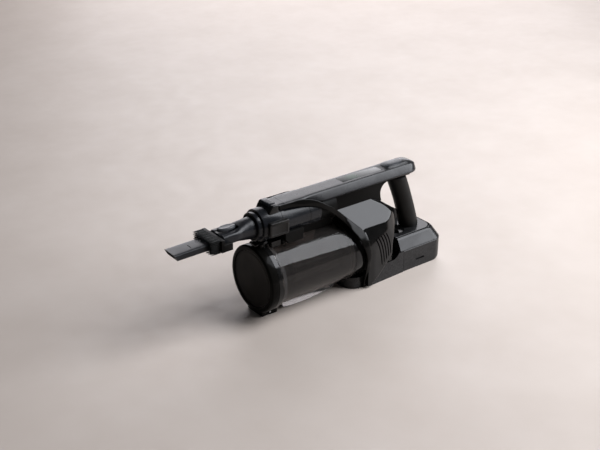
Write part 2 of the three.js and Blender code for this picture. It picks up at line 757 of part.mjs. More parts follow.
function buildMotorHousing() {
  const reach = 64;
  const sideOutline = shapeFrom([
    [RIDGE_FRONT, 150], [RIDGE_FRONT, 134], [162, 122], [173, 110], [184, 97],
    [COWL_FRONT, 92], [COWL_FRONT, 0], [300, 0], [300, 150],
  ]);
  const hollow = turned(
    [[COWL_FRONT - 1, 0], [COWL_FRONT - 1, COWL_RADIUS - COWL_WALL], ...cowlProfile(-COWL_WALL, COWL_FRONT)],
    MOTOR_AXIS_Z,
  );
  let cowl = cowlBody(0)
    .intersect(sidePlate(sideOutline, -reach, reach))
    .subtract(hollow)
    .subtract(bar(150, DOCK_FRONT + 1, BIN_RADIUS + 0.8, BIN_AXIS_Z))
    .subtract(bar(DOCK_FRONT - GAP, COWL_FRONT, COWL_RADIUS, MOTOR_AXIS_Z - 4));
  const slots = 5;
  for (let i = 0; i < slots; i++) {
    const top = 211 + 6.2 * i;
    const bottom = 230 + 2.4 * i;
    const outline = shapeFrom([
      [top, 90 - 0.6 * i], [top + 2.4, 90 - 0.6 * i], [bottom + 2, 33 + 6 * i], [bottom, 33 + 6 * i],
    ]);
    cowl = cowl.subtract(sidePlate(outline, -reach, reach));
  }
  piece("motor_cowl", cowl, GLOSS_BLACK);

  const seatAxisZ = MOTOR_AXIS_Z - 4;
  const dock = ring(DOCK_FRONT, COWL_FRONT - GAP, 50.2, 55.2, seatAxisZ).intersect(
    bar(180, 200, COWL_RADIUS - 0.6, MOTOR_AXIS_Z),
  );
  piece("dock_ring", dock, GLOSS_BLACK);
  piece("dock_plate", ring(194.4, 197.2, 20, 48.6, BIN_AXIS_Z + 1, 32), MATTE_BLACK);
  piece("exhaust_filter", ring(226, 252, 46, 51, MOTOR_AXIS_Z, INNER_ROUND), FILTER_WHITE);
}

function buildImpeller() {
  const blades = 9;
  const f = FAN_FRONT;
  let wheel = turned(
    [[f + 3, 3], [f + 3, 5.4], [f + 10, 9], [f + 12, 30], [f + 14, 30], [f + 14, 3]],
    MOTOR_AXIS_Z,
    30,
  );
  for (let i = 0; i < blades; i++) {
    const geometry = new THREE.BoxGeometry(6.5, 1.2, 21);
    geometry.rotateX(0.5);
    geometry.translate(0, 0, 18);
    geometry.rotateX((i / blades) * 2 * Math.PI);
    geometry.translate(f + 9.4, 0, MOTOR_AXIS_Z);
    wheel = wheel.add(solid(geometry));
  }
  return wheel;
}

function buildMotor() {
  const axis = MOTOR_AXIS_Z;
  const f = FAN_FRONT;
  piece("motor_shaft", bar(f, f + 67, 2.6, axis, 16), STEEL);
  const hubBore = bar(f - 5, f + 20, 2.6, axis, 16);
  piece("impeller", buildImpeller().add(ring(f + 3, f + 14, 2.5, 5, axis, 16)).subtract(hubBore), MATTE_BLACK);
  const shroud = turned(
    [[f, 16], [f, 18], [f + 5.4, 34], [f + 19, 34], [f + 19, 32.6], [f + 6.6, 32.6], [f + 3, 16]],
    axis,
    30,
  );
  piece("impeller_shroud", shroud, MATTE_BLACK);
  const can = turned([[f + 27, 4.5], [f + 27, 24], [f + 56, 24], [f + 60, 20], [f + 60, 4.5]], axis, 30);
  piece("motor_can", can, STEEL);
  piece("front_bearing", ring(f + 21, f + 26, 2.9, 8, axis, 20), STEEL);
  piece("rear_bearing", ring(f + 60.4, f + 65, 2.9, 8, axis, 20), STEEL);
  const frontMount = turned(
    [
      [f + 19.4, 8.3], [f + 19.4, 52.4], [f + 24, 52.4], [f + 24, 24.6],
      [f + 34, 24.6], [f + 34, 24.3], [f + 26.6, 24.3], [f + 26.6, 8.3],
    ],
    axis,
    30,
  );
  piece("motor_mount_front", frontMount, RUBBER);
}

// ---------------------------------------------------------------- base and battery

// Half of a plan outline with round corners, mirrored into a closed shape.
function planOutline(x0, x1, half, corner, frontHalf = half) {
  const shape = new THREE.Shape();
  shape.moveTo(x0, -frontHalf);
  shape.lineTo(x1 - corner, -half);
  shape.absarc(x1 - corner, -half + corner, corner, -Math.PI / 2, 0, false);
  shape.lineTo(x1, half - corner);
  shape.absarc(x1 - corner, half - corner, corner, 0, Math.PI / 2, false);
  shape.lineTo(x0, frontHalf);
  shape.closePath();
  return shape;
}

function buildBaseShell() {
  const outline = planOutline(BASE_FRONT, BATTERY_FRONT - GAP, BASE_HALF_WIDTH, 0.2, 45);
  const cheekOutline = shapeFrom([
    [232, 20], [232, 48], [246, 60], [262, 84], [268, 88], [271.8, 84], [271.8, 20],
  ]);
  const cheeks = sidePlate(cheekOutline, -BASE_HALF_WIDTH + 1, BASE_HALF_WIDTH - 1, 3);
  const footOutline = new THREE.Shape();
  footOutline.moveTo(BASE_FRONT + 2, -FOOT_HALF_WIDTH);
  footOutline.lineTo(185, -FOOT_HALF_WIDTH);
  footOutline.quadraticCurveTo(FOOT_FRONT + 1, -FOOT_HALF_WIDTH, FOOT_FRONT, -12);
  footOutline.lineTo(FOOT_FRONT, 12);
  footOutline.quadraticCurveTo(FOOT_FRONT + 1, FOOT_HALF_WIDTH, 185, FOOT_HALF_WIDTH);
  footOutline.lineTo(BASE_FRONT + 2, FOOT_HALF_WIDTH);
  footOutline.closePath();
  const boardPocket = box(210, 266, -30, 30, 2.6, 12);
  let base = planPlate(outline, 0, BATTERY_TOP - GAP)
    .add(cheeks)
    .add(planPlate(footOutline, 0, 20))
    .subtract(cowlSolid(0.4, COWL_FRONT - 1))
    .subtract(bar(DOCK_FRONT - 0.6, COWL_FRONT, COWL_RADIUS + 0.4, MOTOR_AXIS_Z - 4))
    .subtract(bar(FOOT_FRONT - 5, DOCK_FRONT, BIN_RADIUS + 0.8, BIN_AXIS_Z))
    .subtract(boardPocket);
  for (const y of [-36, 36]) {
    base = base.subtract(upright(262, y, 3.2, -1, 3)).subtract(upright(262, y, 1.8, 2, 15));
  }
  piece("base_shell", base, SATIN_GREY);
  for (const [name, y] of [["base_screw_right", -36], ["base_screw_left", 36]]) {
    const screw = upright(262, y, 2.8, 0.8, 2.7, 16).add(upright(262, y, 1.4, 2.5, 14, 10));
    piece(name, screw, STEEL);
  }
  piece("control_board", box(212, 264, -28, 28, 3, 4.6), BOARD_GREEN);
}

// The cover over the battery, with sloping sides and a scoop in front of the grip.
function buildBaseCover() {
  const level = (sideInset, rearInset, z) => {
    const corner = Math.max(6, BASE_CORNER - sideInset * 0.7);
    const shape = planOutline(COVER_FRONT, BASE_REAR - rearInset, BASE_HALF_WIDTH - sideInset, corner);
    return shape.extractPoints(8).shape.map((point) => new THREE.Vector3(point.x, point.y, z));
  };
  const outer = loft([
    level(0, 0, BATTERY_TOP),
    level(0.4, 0.4, BATTERY_TOP + 1.4),
    level(10.6, 13.6, COVER_TOP - 3),
    level(13.2, 16.6, COVER_TOP - 0.8),
    level(15.6, 19, COVER_TOP),
  ]);
  const hollow = loft([level(5, 5, BATTERY_TOP - 1), level(16, 19, COVER_TOP - 5.5)]);
  const scoop = solid(new THREE.SphereGeometry(1, 20, 12))
    .scale([17, 19, 9])
    .translate([292, 0, COVER_TOP + 2]);
  const cover = outer
    .subtract(hollow.intersect(box(COVER_FRONT + 4, BASE_REAR, -60, 60, 0, 100)))
    .subtract(scoop)
    .subtract(cowlSolid(0.5, 190))
    .subtract(gripLoft(12.5, 10.5, 50, 70));
  piece("base_cover", cover, SATIN_GREY);
}

function buildBattery() {
  const outer = planPlate(
    planOutline(BATTERY_FRONT, BASE_REAR, BASE_HALF_WIDTH, BASE_CORNER),
    0,
    BATTERY_TOP - GAP,
  );
  const inner = planPlate(
    planOutline(BATTERY_FRONT + 3, BASE_REAR - 3, BASE_HALF_WIDTH - 3, BASE_CORNER - 3),
    2.5,
    BATTERY_TOP + 1,
  );
  const chargeSlot = box(307, 326, -50, -30, 13.6, 16.6);
  const buttonHole = box(363, 378, -9.3, 9.3, 20.7, 30.3);
  piece("battery_case", outer.subtract(inner).subtract(chargeSlot).subtract(buttonHole), SATIN_GREY);

  const topPlate = planPlate(
    planOutline(BATTERY_FRONT + 3.3, BASE_REAR - 3.3, BASE_HALF_WIDTH - 3.3, BASE_CORNER - 3.3),
    36.2,
    BATTERY_TOP - GAP,
  );
  piece("battery_top", topPlate, MATTE_BLACK);

  const cellRadius = 9.2;
  const pitch = 18.8;
  let cells = box(283.8, 285.2, -32, 32, 10, 16);
  for (let i = 0; i < 4; i++) {
    const geometry = new THREE.CylinderGeometry(cellRadius, cellRadius, 65, SMALL_ROUND);
    geometry.rotateZ(Math.PI / 2);
    geometry.translate(285 + 32.5, (i - 1.5) * pitch, 3 + cellRadius);
    cells = cells.add(solid(geometry));
  }
  piece("battery_cells", cells.subtract(box(300, 330, -40, -34.6, 5, 20)), CELL_BLUE);

  piece("charge_socket", box(306, 327, -38.6, -35, 12, 18.2), MATTE_BLACK);

  const latch = sidePlate(shapeFrom([[364, 21], [371.2, 21], [371.8, 22], [371.8, 29], [371.2, 30], [364, 30]]), -9, 9);
  piece("battery_latch_button", latch, MATTE_BLACK);
}

// ---------------------------------------------------------------- grip

// A leaning elliptic column on the grip's centre line, between two heights.
function gripLoft(semiX, semiY, z0, z1) {
  const lean = (GRIP_FOOT.x - GRIP_TOP.x) / (GRIP_FOOT.z - GRIP_TOP.z);
  const centre = (z) => GRIP_TOP.x + (z - GRIP_TOP.z) * lean;
  return loft([z0, z1].map((z) => levelEllipse(centre(z), z, semiX, semiY)));
}

function buildGrip() {
  piece("grip_core", gripLoft(12.1, 10.1, 55, TAIL_UNDERSIDE - 0.4), MATTE_BLACK);
  const sleeve = gripLoft(GRIP_SEMI_X, GRIP_SEMI_Y, COVER_TOP + GAP, TAIL_UNDERSIDE - GAP).subtract(
    gripLoft(12.5, 10.5, 50, 160),
  );
  piece("grip_sleeve", sleeve, RUBBER);
}

// ---------------------------------------------------------------- crevice nozzle

// The nozzle's half-width, half-height, centre height and squareness at a place along it.
const NOZZLE_STATIONS = [
  [SPIGOT_REAR, SPIGOT_RADIUS, SPIGOT_RADIUS, NOZZLE_AXIS_Z, 2],
  [-4, SPIGOT_RADIUS, SPIGOT_RADIUS, NOZZLE_AXIS_Z, 2],
  [-14, 16.6, 15.6, NOZZLE_AXIS_Z, 2.1],
  [-24, 16.8, 12.6, NOZZLE_AXIS_Z + 0.2, 2.6],
  [-34, 18, 9.4, NOZZLE_AXIS_Z + 0.4, 3.6],
  [-59, 18, 8.4, NOZZLE_AXIS_Z + 0.2, 5],
  [-61.5, 15.4, 6.8, 148, 5],
  [-90, 15, 5.9, 147, 5],
  [NOZZLE_TIP, 15, 5.4, 146.6, 6],
];

function nozzleLoft(shrink) {
  return loft(
    NOZZLE_STATIONS.map(([x, halfWidth, halfHeight, z, power]) =>
      crossSection(x, halfWidth - shrink, halfHeight - shrink, z, power),
    ),
  );
}

function buildNozzle() {
  const longer = 6;
  const inside = loft(
    NOZZLE_STATIONS.map(([x, halfWidth, halfHeight, z, power], i) => {
      const atEnd = i === 0 ? longer : i === NOZZLE_STATIONS.length - 1 ? -longer : 0;
      return crossSection(x + atEnd, halfWidth - 1.7, halfHeight - 1.7, z, power);
    }),
  );
  const slantedTip = sidePlate(shapeFrom([[-150, 130], [-129.5, 130], [-142, 153], [-150, 153]]), -30, 30);
  const slit = box(-110, -108.6, -7, 3, 150, 160);
  const buttonSeat = box(-74, -26, -8.6, 8.6, 157.6, 170);
  piece("nozzle_body", nozzleLoft(0).subtract(inside).subtract(slantedTip).subtract(slit).subtract(buttonSeat), DUCT_GREY);

  const centreX = -43.5;
  const oval = (z, semiX, semiY) => levelEllipse(centreX, z, semiX, semiY, 24);
  const button = loft([
    oval(160.4, 15.6, 7.6),
    oval(163, 15.6, 7.6),
    oval(164.6, 13.6, 6.2),
    oval(165.2, 8, 3.4),
  ]);
  piece("nozzle_button", button, GLOSS_BLACK);
}

// The dusting brush rides on the flat part of the nozzle.
function buildBrush() {
  const bore = box(-95, -40, -16, 16, 140.4, 155.6);
  const frame = box(BRUSH_BAR_X - 3, BRUSH_BAR_X + 2.6, -27, 27, 138.6, 157.8)
    .add(box(BRUSH_BAR_X, -50, -27.5, -21, 139.2, 150))
    .add(box(BRUSH_BAR_X, -50, 21, 27.5, 139.2, 150));
  piece("brush_frame", frame.subtract(bore), MATTE_BLACK);
  const bristles = box(-87, BRUSH_BAR_X - 3 - GAP, -24.5, 24.5, 139, 157).subtract(bore);
  piece("brush_bristles", bristles, RUBBER);
}

// ---------------------------------------------------------------- assembly

buildBin();
buildLid();
buildLatch();
buildInlet();
buildCyclonePort();
buildSpineCap();
buildPowerButton();
buildHood();
buildSpineFrame();
buildBands();
buildMotorHousing();
buildMotor();
buildBaseShell();
buildBaseCover();
buildBattery();
buildGrip();
buildNozzle();
buildBrush();

const OVERALL_REAR = 371.8;
device.position.x = -(NOZZLE_TIP + OVERALL_REAR) / 2;

const vacuum = new THREE.Group();
vacuum.name = "handheld_vacuum";
vacuum.add(device);

export default vacuum;
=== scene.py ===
"""Visual model of a cordless handheld vacuum cleaner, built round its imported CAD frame.

Lengths in this file are millimetres along X from the front face of the bin lid, along Y from the plane of
symmetry and up from the floor. at() turns them into metres in the row frame.
"""

import json
from math import copysign, cos, pi, radians, sin, sqrt

import bmesh
import bpy
from mathutils import Matrix, Vector


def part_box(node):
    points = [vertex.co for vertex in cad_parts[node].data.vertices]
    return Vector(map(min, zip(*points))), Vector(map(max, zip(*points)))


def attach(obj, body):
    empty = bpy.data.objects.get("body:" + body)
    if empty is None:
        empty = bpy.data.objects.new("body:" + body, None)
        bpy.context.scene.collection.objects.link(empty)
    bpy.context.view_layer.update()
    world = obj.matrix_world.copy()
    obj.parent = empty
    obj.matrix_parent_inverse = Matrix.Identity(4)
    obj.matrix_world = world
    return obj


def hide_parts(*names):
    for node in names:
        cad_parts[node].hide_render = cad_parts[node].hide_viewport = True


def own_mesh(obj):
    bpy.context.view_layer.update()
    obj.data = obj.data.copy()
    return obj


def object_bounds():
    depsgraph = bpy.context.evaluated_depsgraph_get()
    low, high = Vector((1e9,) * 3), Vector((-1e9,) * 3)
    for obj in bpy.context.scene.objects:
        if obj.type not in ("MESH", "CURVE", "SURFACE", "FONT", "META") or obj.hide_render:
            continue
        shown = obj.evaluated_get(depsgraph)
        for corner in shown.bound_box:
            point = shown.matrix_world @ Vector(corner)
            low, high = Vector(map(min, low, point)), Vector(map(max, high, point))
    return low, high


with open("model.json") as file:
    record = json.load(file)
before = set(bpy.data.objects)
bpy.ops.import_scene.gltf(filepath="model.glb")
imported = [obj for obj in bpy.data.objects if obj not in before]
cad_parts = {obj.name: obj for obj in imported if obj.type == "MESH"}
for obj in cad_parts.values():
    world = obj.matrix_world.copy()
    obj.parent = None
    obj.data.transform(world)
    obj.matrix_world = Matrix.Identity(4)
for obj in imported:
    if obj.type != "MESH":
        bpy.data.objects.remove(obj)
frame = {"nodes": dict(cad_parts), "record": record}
cad_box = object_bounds()

# Driving dimensions.

MM = 0.001
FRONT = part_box("bin_lid")[0].x  # the lid's front face, where the lengths along X start

BIN_AXIS_Z = 61
BIN_RADIUS = 51
BIN_INNER_RADIUS = 48.8
BIN_FRONT = 24
BIN_REAR = 168.2
RIM_END = 30
HINGE_HALF_WIDTH = 19
KNUCKLE_HALF_WIDTH = 9.3
LID_RADIUS = 55
HINGE_PIN = (21, 4.6)
LATCH_PIVOT = (13.5, 119)

INLET_AXIS_Z = 150
COLLAR_RADIUS = 26
DUCT_RADIUS = 24
SLEEVE_START = 118

SPINE_FRONT = 52.6
SPINE_STRAIGHT_END = 305
SPINE_END = 328
SPINE_TOP = 181
SPINE_TOP_HALF = 15
SPINE_EDGE_Z = 168
SPINE_EDGE_HALF = 22
TAIL_CROWN = 4.6
KEY_X = 281
BAND_LEAVES = (88, 126)  # the stretch in which the side bands leave the spine

MOTOR_AXIS_Z = 66
DOCK_AXIS_Z = 62
COWL_RADIUS = 56
COWL_FRONT = 195
DOME_START = 250
COWL_REAR = 280
DOCK_FRONT = 188.8
RIDGE_FRONT = 152.4
RIDGE_TOP = 137
RIDGE_HALF = 11
FLANK_FOOT = 105.6

BASE_TOP = 42.3
BASE_REAR = 371
BASE_HALF_WIDTH = 42
BASE_CORNER = 21
BATTERY_FRONT = 279.4
BATTERY_TOP = 38.7
COVER_FRONT = 272.4
COVER_FOOT = 39
COVER_TOP = 60.5

GRIP_TOP = (294.6, 149.5)
GRIP_FOOT = (322.5, 68)

NOZZLE_TIP = -141

FINE = 144  # sides of a large round piece
SOFT_ANGLE = 32  # edges that turn by fewer degrees are shaded smooth
SIDES = ((-1, "right"), (1, "left"))


def at(x, y, z):
    return Vector((FRONT + x * MM, y * MM, z * MM))


# Mesh helpers.


def new_object(name, data):
    made = bpy.data.objects.new(name, data)
    bpy.context.scene.collection.objects.link(made)
    return made


def new_piece(name, points, faces):
    """A mesh object from points in millimetres, with its faces turned outwards."""
    mesh = bpy.data.meshes.new(name)
    mesh.from_pydata([at(*point) for point in points], [], faces)
    shape = bmesh.new()
    shape.from_mesh(mesh)
    bmesh.ops.recalc_face_normals(shape, faces=shape.faces)
    shape.to_mesh(mesh)
    shape.free()
    return new_object(name, mesh)


def strip(first, second):
    """The faces between two rings of point numbers. A ring of one point is a tip."""
    count = max(len(first), len(second))
    faces = []
    for i in range(count):
        corners = [first[i % len(first)], first[(i + 1) % len(first)]]
        corners += [second[(i + 1) % len(second)], second[i % len(second)]]
        corners = list(dict.fromkeys(corners))
        if len(corners) > 2:
            faces.append(corners)
    return faces


def skin(rings, closed=False, start=0):
    """The faces through rings of points. The numbers of the points count up from start."""
    numbers = []
    for ring in rings:
        numbers.append(list(range(start, start + len(ring))))
        start += len(ring)
    faces = []
    for first, second in zip(numbers, numbers[1:]):
        faces += strip(first, second)
    if closed:
        return faces + strip(numbers[-1], numbers[0])
    return faces + [end for end in (numbers[0][::-1], numbers[-1]) if len(end) > 2]


def lofted(name, rings, closed=False):
    """A solid stretched through rings, with flat ends unless the last ring joins the first."""
    return new_piece(name, [point for ring in rings for point in ring], skin(rings, closed))


def circle(radius, count):
    angles = [2 * pi * i / count for i in range(count)]
    return [(radius * cos(a), radius * sin(a)) for a in angles]


def turned(name, profile, axis_z, sides=FINE):
    """A piece turned about an axis along X. The profile lists (x, radius)."""
    rings = []
    for x, radius in profile:
        rings.append([(x, y, axis_z + z) for y, z in circle(radius, sides if radius else 1)])
    return lofted(name, rings, closed=profile[0][1] > 0 or profile[-1][1] > 0)


def long_bar(name, x0, x1, radius, axis_z):
    """A round bar along X."""
    return turned(name, [(x0, 0), (x0, radius), (x1, radius), (x1, 0)], axis_z)


def side_plate(name, outline, y0, y1):
    """A side outline of (x, z) as a plate from y0 to y1."""
    return lofted(name, [[(x, y, z) for x, z in outline] for y in (y0, y1)])


def plan_plate(name, outline, z0, z1):
    """A plan outline of (x, y) as a plate from z0 to z1."""
    return lofted(name, [[(x, y, z) for x, y in outline] for z in (z0, z1)])


def block(name, x0, x1, y0, y1, z0, z1):
    return side_plate(name, [(x0, z0), (x1, z0), (x1, z1), (x0, z1)], y0, y1)


def cross_bar(name, centre, radius, y0, y1):
    """A round bar along Y, with its centre at (x, z)."""
    return side_plate(name, [(centre[0] + x, centre[1] + z) for x, z in circle(radius, 32)], y0, y1)


def level_ellipse(x, z, semi_x, semi_y, count=64):
    return [(x + semi_x * a, semi_y * b, z) for a, b in circle(1, count)]


def upright(name, x, semi_x, semi_y, z0, z1):
    """An oval bar along Z."""
    return lofted(name, [level_ellipse(x, z, semi_x, semi_y, 96) for z in (z0, z1)])


def on_side(side, near, far):
    """The range of Y from near to far, to the right of the middle (-1) or to the left (1)."""
    return sorted((side * near, side * far))


def bend(start, pull, end, t):
    """A point on the curve from start to end that leans towards pull."""
    return tuple(a * (1 - t) ** 2 + 2 * b * t * (1 - t) + c * t * t for a, b, c in zip(start, pull, end))


def bake_modifiers(piece):
    """The mesh with its modifiers worked in."""
    graph = bpy.context.evaluated_depsgraph_get()
    mesh = bpy.data.meshes.new_from_object(piece.evaluated_get(graph))
    piece.modifiers.clear()
    old = piece.data
    piece.data = mesh
    bpy.data.meshes.remove(old)
    return piece


def combine(piece, tool, operation):
    """Joins, cuts or intersects piece with tool, which is used up."""
    modifier = piece.modifiers.new("combine", "BOOLEAN")
    modifier.operation = operation
    modifier.solver = "EXACT"
    modifier.object = tool
    bake_modifiers(piece)
    bpy.data.objects.remove(tool)
    return piece


def cut(piece, *tools):
    for tool in tools:
        combine(piece, tool, "DIFFERENCE")
    return piece


def join(piece, *tools):
    for tool in tools:
        combine(piece, tool, "UNION")
    return piece


def bevel(piece, width, segments, angle):
    """Adds a modifier that rounds the edges that turn by more than angle degrees."""
    modifier = piece.modifiers.new("rounded edges", "BEVEL")
    modifier.width = width * MM
    modifier.segments = segments
    modifier.limit_method = "ANGLE"
    modifier.angle_limit = radians(angle)
    return modifier


def round_edges(piece, width, segments=3, angle=32):
    bevel(piece, width, segments, angle)
    return bake_modifiers(piece)


def shade(piece, angle):
    piece.data.shade_smooth()
    piece.data.set_sharp_from_angle(angle=radians(angle))


def smoothstep(start, end, value):
    """Rises from 0 at start to 1 at end, whichever of them is the larger."""
    t = min(1.0, max(0.0, (value - start) / (end - start)))
    return t * t * (3 - 2 * t)


def curve_through(points, steps):
    """Evenly counted points on a Catmull-Rom curve through the given ones."""
    ends = [points[0]] + list(points) + [points[-1]]
    found = []
    for i in range(steps + 1):
        place = i / steps * (len(points) - 1)
        k = min(int(place), len(points) - 2)
        t = place - k
        a, b, c, d = ends[k : k + 4]
        point = []
        for p, q, r, s in zip(a, b, c, d):
            square = (2 * p - 5 * q + 4 * r - s) * t**2
            cube = (3 * q - p - 3 * r + s) * t**3
            point.append(0.5 * (2 * q + (r - p) * t + square + cube))
        found.append(tuple(point))
    return found


# Materials.


def shader_tree(name):
    material = bpy.data.materials.new(name)
    material.use_nodes = True
    return material, material.node_tree, material.node_tree.nodes["Principled BSDF"]


def set_levels(node, levels):
    for name, level in levels.items():
        node.inputs[name].default_value = level


def texture(tree, kind, levels, stretch=None):
    """A texture in object space. Its scale is in waves per metre."""
    node = tree.nodes.new(kind)
    set_levels(node, levels)
    source = tree.nodes.new("ShaderNodeTexCoord").outputs["Object"]
    if stretch:
        mapping = tree.nodes.new("ShaderNodeMapping")
        mapping.inputs["Scale"].default_value = stretch
        tree.links.new(source, mapping.inputs["Vector"])
        source = mapping.outputs["Vector"]
    tree.links.new(source, node.inputs["Vector"])
    return node


def noise(tree, scale, detail=3.0, stretch=None):
    levels = {"Scale": scale, "Detail": detail}
    return texture(tree, "ShaderNodeTexNoise", levels, stretch).outputs["Fac"]


def between(tree, value, low, high, out_low, out_high):
    spread = tree.nodes.new("ShaderNodeMapRange")
    set_levels(spread, {"From Min": low, "From Max": high, "To Min": out_low, "To Max": out_high})
    tree.links.new(value, spread.inputs["Value"])
    return spread.outputs["Result"]


def smudges(tree, scale, detail, low, high):
    """Soft patches whose value varies from low to high."""
    return between(tree, noise(tree, scale, detail), 0.3, 0.7, low, high)


def ramp(tree, value, stops):
    node = tree.nodes.new("ShaderNodeValToRGB")
    tree.links.new(value, node.inputs["Fac"])
    elements = node.color_ramp.elements
    while len(elements) < len(stops):
        elements.new(0.5)
    for element, (position, colour) in zip(elements, stops):
        element.position = position
        element.color = (*colour, 1)
    return node.outputs["Color"]


def surface(tree, shader, colour, roughness):
    tree.links.new(colour, shader.inputs["Base Color"])
    tree.links.new(roughness, shader.inputs["Roughness"])


def bump(tree, shader, height, depth):
    """Raises the surface by up to depth millimetres."""
    node = tree.nodes.new("ShaderNodeBump")
    set_levels(node, {"Strength": 1.0, "Distance": depth * MM})
    tree.links.new(height, node.inputs["Height"])
    tree.links.new(node.outputs["Normal"], shader.inputs["Normal"])


def tinted(colour, factor):
    return tuple(min(1.0, channel * factor) for channel in colour)


def mottled(tree, pattern, colour, dark, light):
    """A colour that follows a pattern, from dark to light times itself."""
    return ramp(tree, pattern, [(0.3, tinted(colour, dark)), (0.7, tinted(colour, light))])


def worn_edges(tree, colour, lighter):
    """Brightens a colour a little on the crests of edges, where moulded plastic is rubbed."""
    geometry = tree.nodes.new("ShaderNodeNewGeometry")
    crest = between(tree, geometry.outputs["Pointiness"], 0.53, 0.6, 0.0, 1.0)
    patches = between(tree, noise(tree, 260), 0.35, 0.65, 0.2, 1.0)
    patchy = tree.nodes.new("ShaderNodeMath")
    patchy.operation = "MULTIPLY"
    tree.links.new(crest, patchy.inputs[0])
    tree.links.new(patches, patchy.inputs[1])
    mix = tree.nodes.new("ShaderNodeMix")
    mix.data_type = "RGBA"
    mix.inputs["B"].default_value = (*lighter, 1)
    tree.links.new(patchy.outputs["Value"], mix.inputs["Factor"])
    tree.links.new(colour, mix.inputs["A"])
    return mix.outputs["Result"]


def plastic(name, colour, roughness, grain_scale, grain_depth, wear=2.2, gloss=0.28):
    """Moulded plastic: mottled colour, smudged gloss, a fine grain and slightly rubbed edges."""
    material, tree, shader = shader_tree(name)
    base = mottled(tree, noise(tree, 55, 4), colour, 0.8, 1.2)
    smudge = smudges(tree, 34, 5, roughness * 0.85, roughness * 1.25)
    surface(tree, shader, worn_edges(tree, base, tinted(colour, wear)), smudge)
    set_levels(shader, {"IOR": 1.45, "Specular IOR Level": gloss})
    bump(tree, shader, noise(tree, grain_scale, 2), grain_depth)
    return material


def smoked_plastic(name, colour, roughness, see_through):
    """Clear plastic with a dark tint and a faint flow pattern from moulding."""
    material, tree, shader = shader_tree(name)
    flow = noise(tree, 26, 3, stretch=(0.3, 1, 1))
    stops = [(0.25, tinted(colour, 0.85)), (0.75, tinted(colour, 1.15))]
    smudge = between(tree, noise(tree, 60, 5), 0.35, 0.7, roughness * 0.8, roughness * 1.4)
    surface(tree, shader, ramp(tree, flow, stops), smudge)
    set_levels(shader, {"Transmission Weight": see_through, "IOR": 1.27, "Specular IOR Level": 0.1})
    bump(tree, shader, noise(tree, 24, 1), 0.012)
    return material


def brushed_metal(name, colour, roughness):
    material, tree, shader = shader_tree(name)
    streaks = noise(tree, 600, 3, stretch=(0.04, 1, 1))
    sheen = between(tree, streaks, 0.3, 0.7, roughness * 0.8, roughness * 1.3)
    surface(tree, shader, mottled(tree, streaks, colour, 0.8, 1.12), sheen)
    set_levels(shader, {"Metallic": 1.0})
    bump(tree, shader, streaks, 0.02)
    return material


def perforated_metal():
    """The cyclone screen: brushed steel with rows of small dark holes."""
    material, tree, shader = shader_tree("perforated_screen")
    cells = texture(tree, "ShaderNodeTexVoronoi", {"Scale": 420, "Randomness": 0.0})
    hole = between(tree, cells.outputs["Distance"], 0.3, 0.36, 0.0, 1.0)
    stops = [(0.0, (0.01, 0.01, 0.01)), (1.0, (0.16, 0.16, 0.165))]
    surface(tree, shader, ramp(tree, hole, stops), smudges(tree, 90, 3, 0.3, 0.45))
    set_levels(shader, {"Metallic": 1.0})
    bump(tree, shader, hole, 0.15)
    return material


def soft_rubber(name, colour, roughness):
    material, tree, shader = shader_tree(name)
    base = mottled(tree, noise(tree, 70, 4), colour, 0.75, 1.35)
    surface(tree, shader, base, smudges(tree, 30, 3, roughness * 0.88, roughness))
    set_levels(shader, {"Specular IOR Level": 0.15, "Sheen Weight": 0.03, "Sheen Roughness": 0.45})
    bump(tree, shader, noise(tree, 2600, 2), 0.03)
    return material


def bristle_fibre():
    """Dark nylon fibres with a streak along each one."""
    material, tree, shader = shader_tree("bristle_fibre")
    streaks = noise(tree, 1400, 3, stretch=(0.05, 1, 1))
    stops = [(0.25, (0.002, 0.0022, 0.002)), (0.6, (0.006, 0.0068, 0.0062)), (0.85, (0.02, 0.021, 0.02))]
    surface(tree, shader, ramp(tree, streaks, stops), between(tree, streaks, 0.2, 0.8, 0.55, 0.4))
    set_levels(shader, {"Specular IOR Level": 0.14})
    bump(tree, shader, streaks, 0.08)
    return material


def circuit_board():
    material, tree, shader = shader_tree("circuit_board")
    colours = {
        "Color1": (0.02, 0.1, 0.05, 1),
        "Color2": (0.03, 0.13, 0.065, 1),
        "Mortar": (0.09, 0.25, 0.12, 1),
    }
    tracks = texture(tree, "ShaderNodeTexBrick", {"Scale": 90, **colours})
    surface(tree, shader, tracks.outputs["Color"], smudges(tree, 80, 3, 0.3, 0.5))
    bump(tree, shader, tracks.outputs["Fac"], 0.05)
    return material


def pleated_filter():
    material, tree, shader = shader_tree("pleated_filter")
    waves = texture(tree, "ShaderNodeTexWave", {"Scale": 95, "Distortion": 0.6})
    waves.bands_direction = "Z"
    folds = waves.outputs["Fac"]
    stops = [(0.1, (0.42, 0.42, 0.4)), (0.8, (0.75, 0.75, 0.72))]
    surface(tree, shader, ramp(tree, folds, stops), smudges(tree, 400, 3, 0.85, 0.98))
    bump(tree, shader, folds, 0.6)
    return material


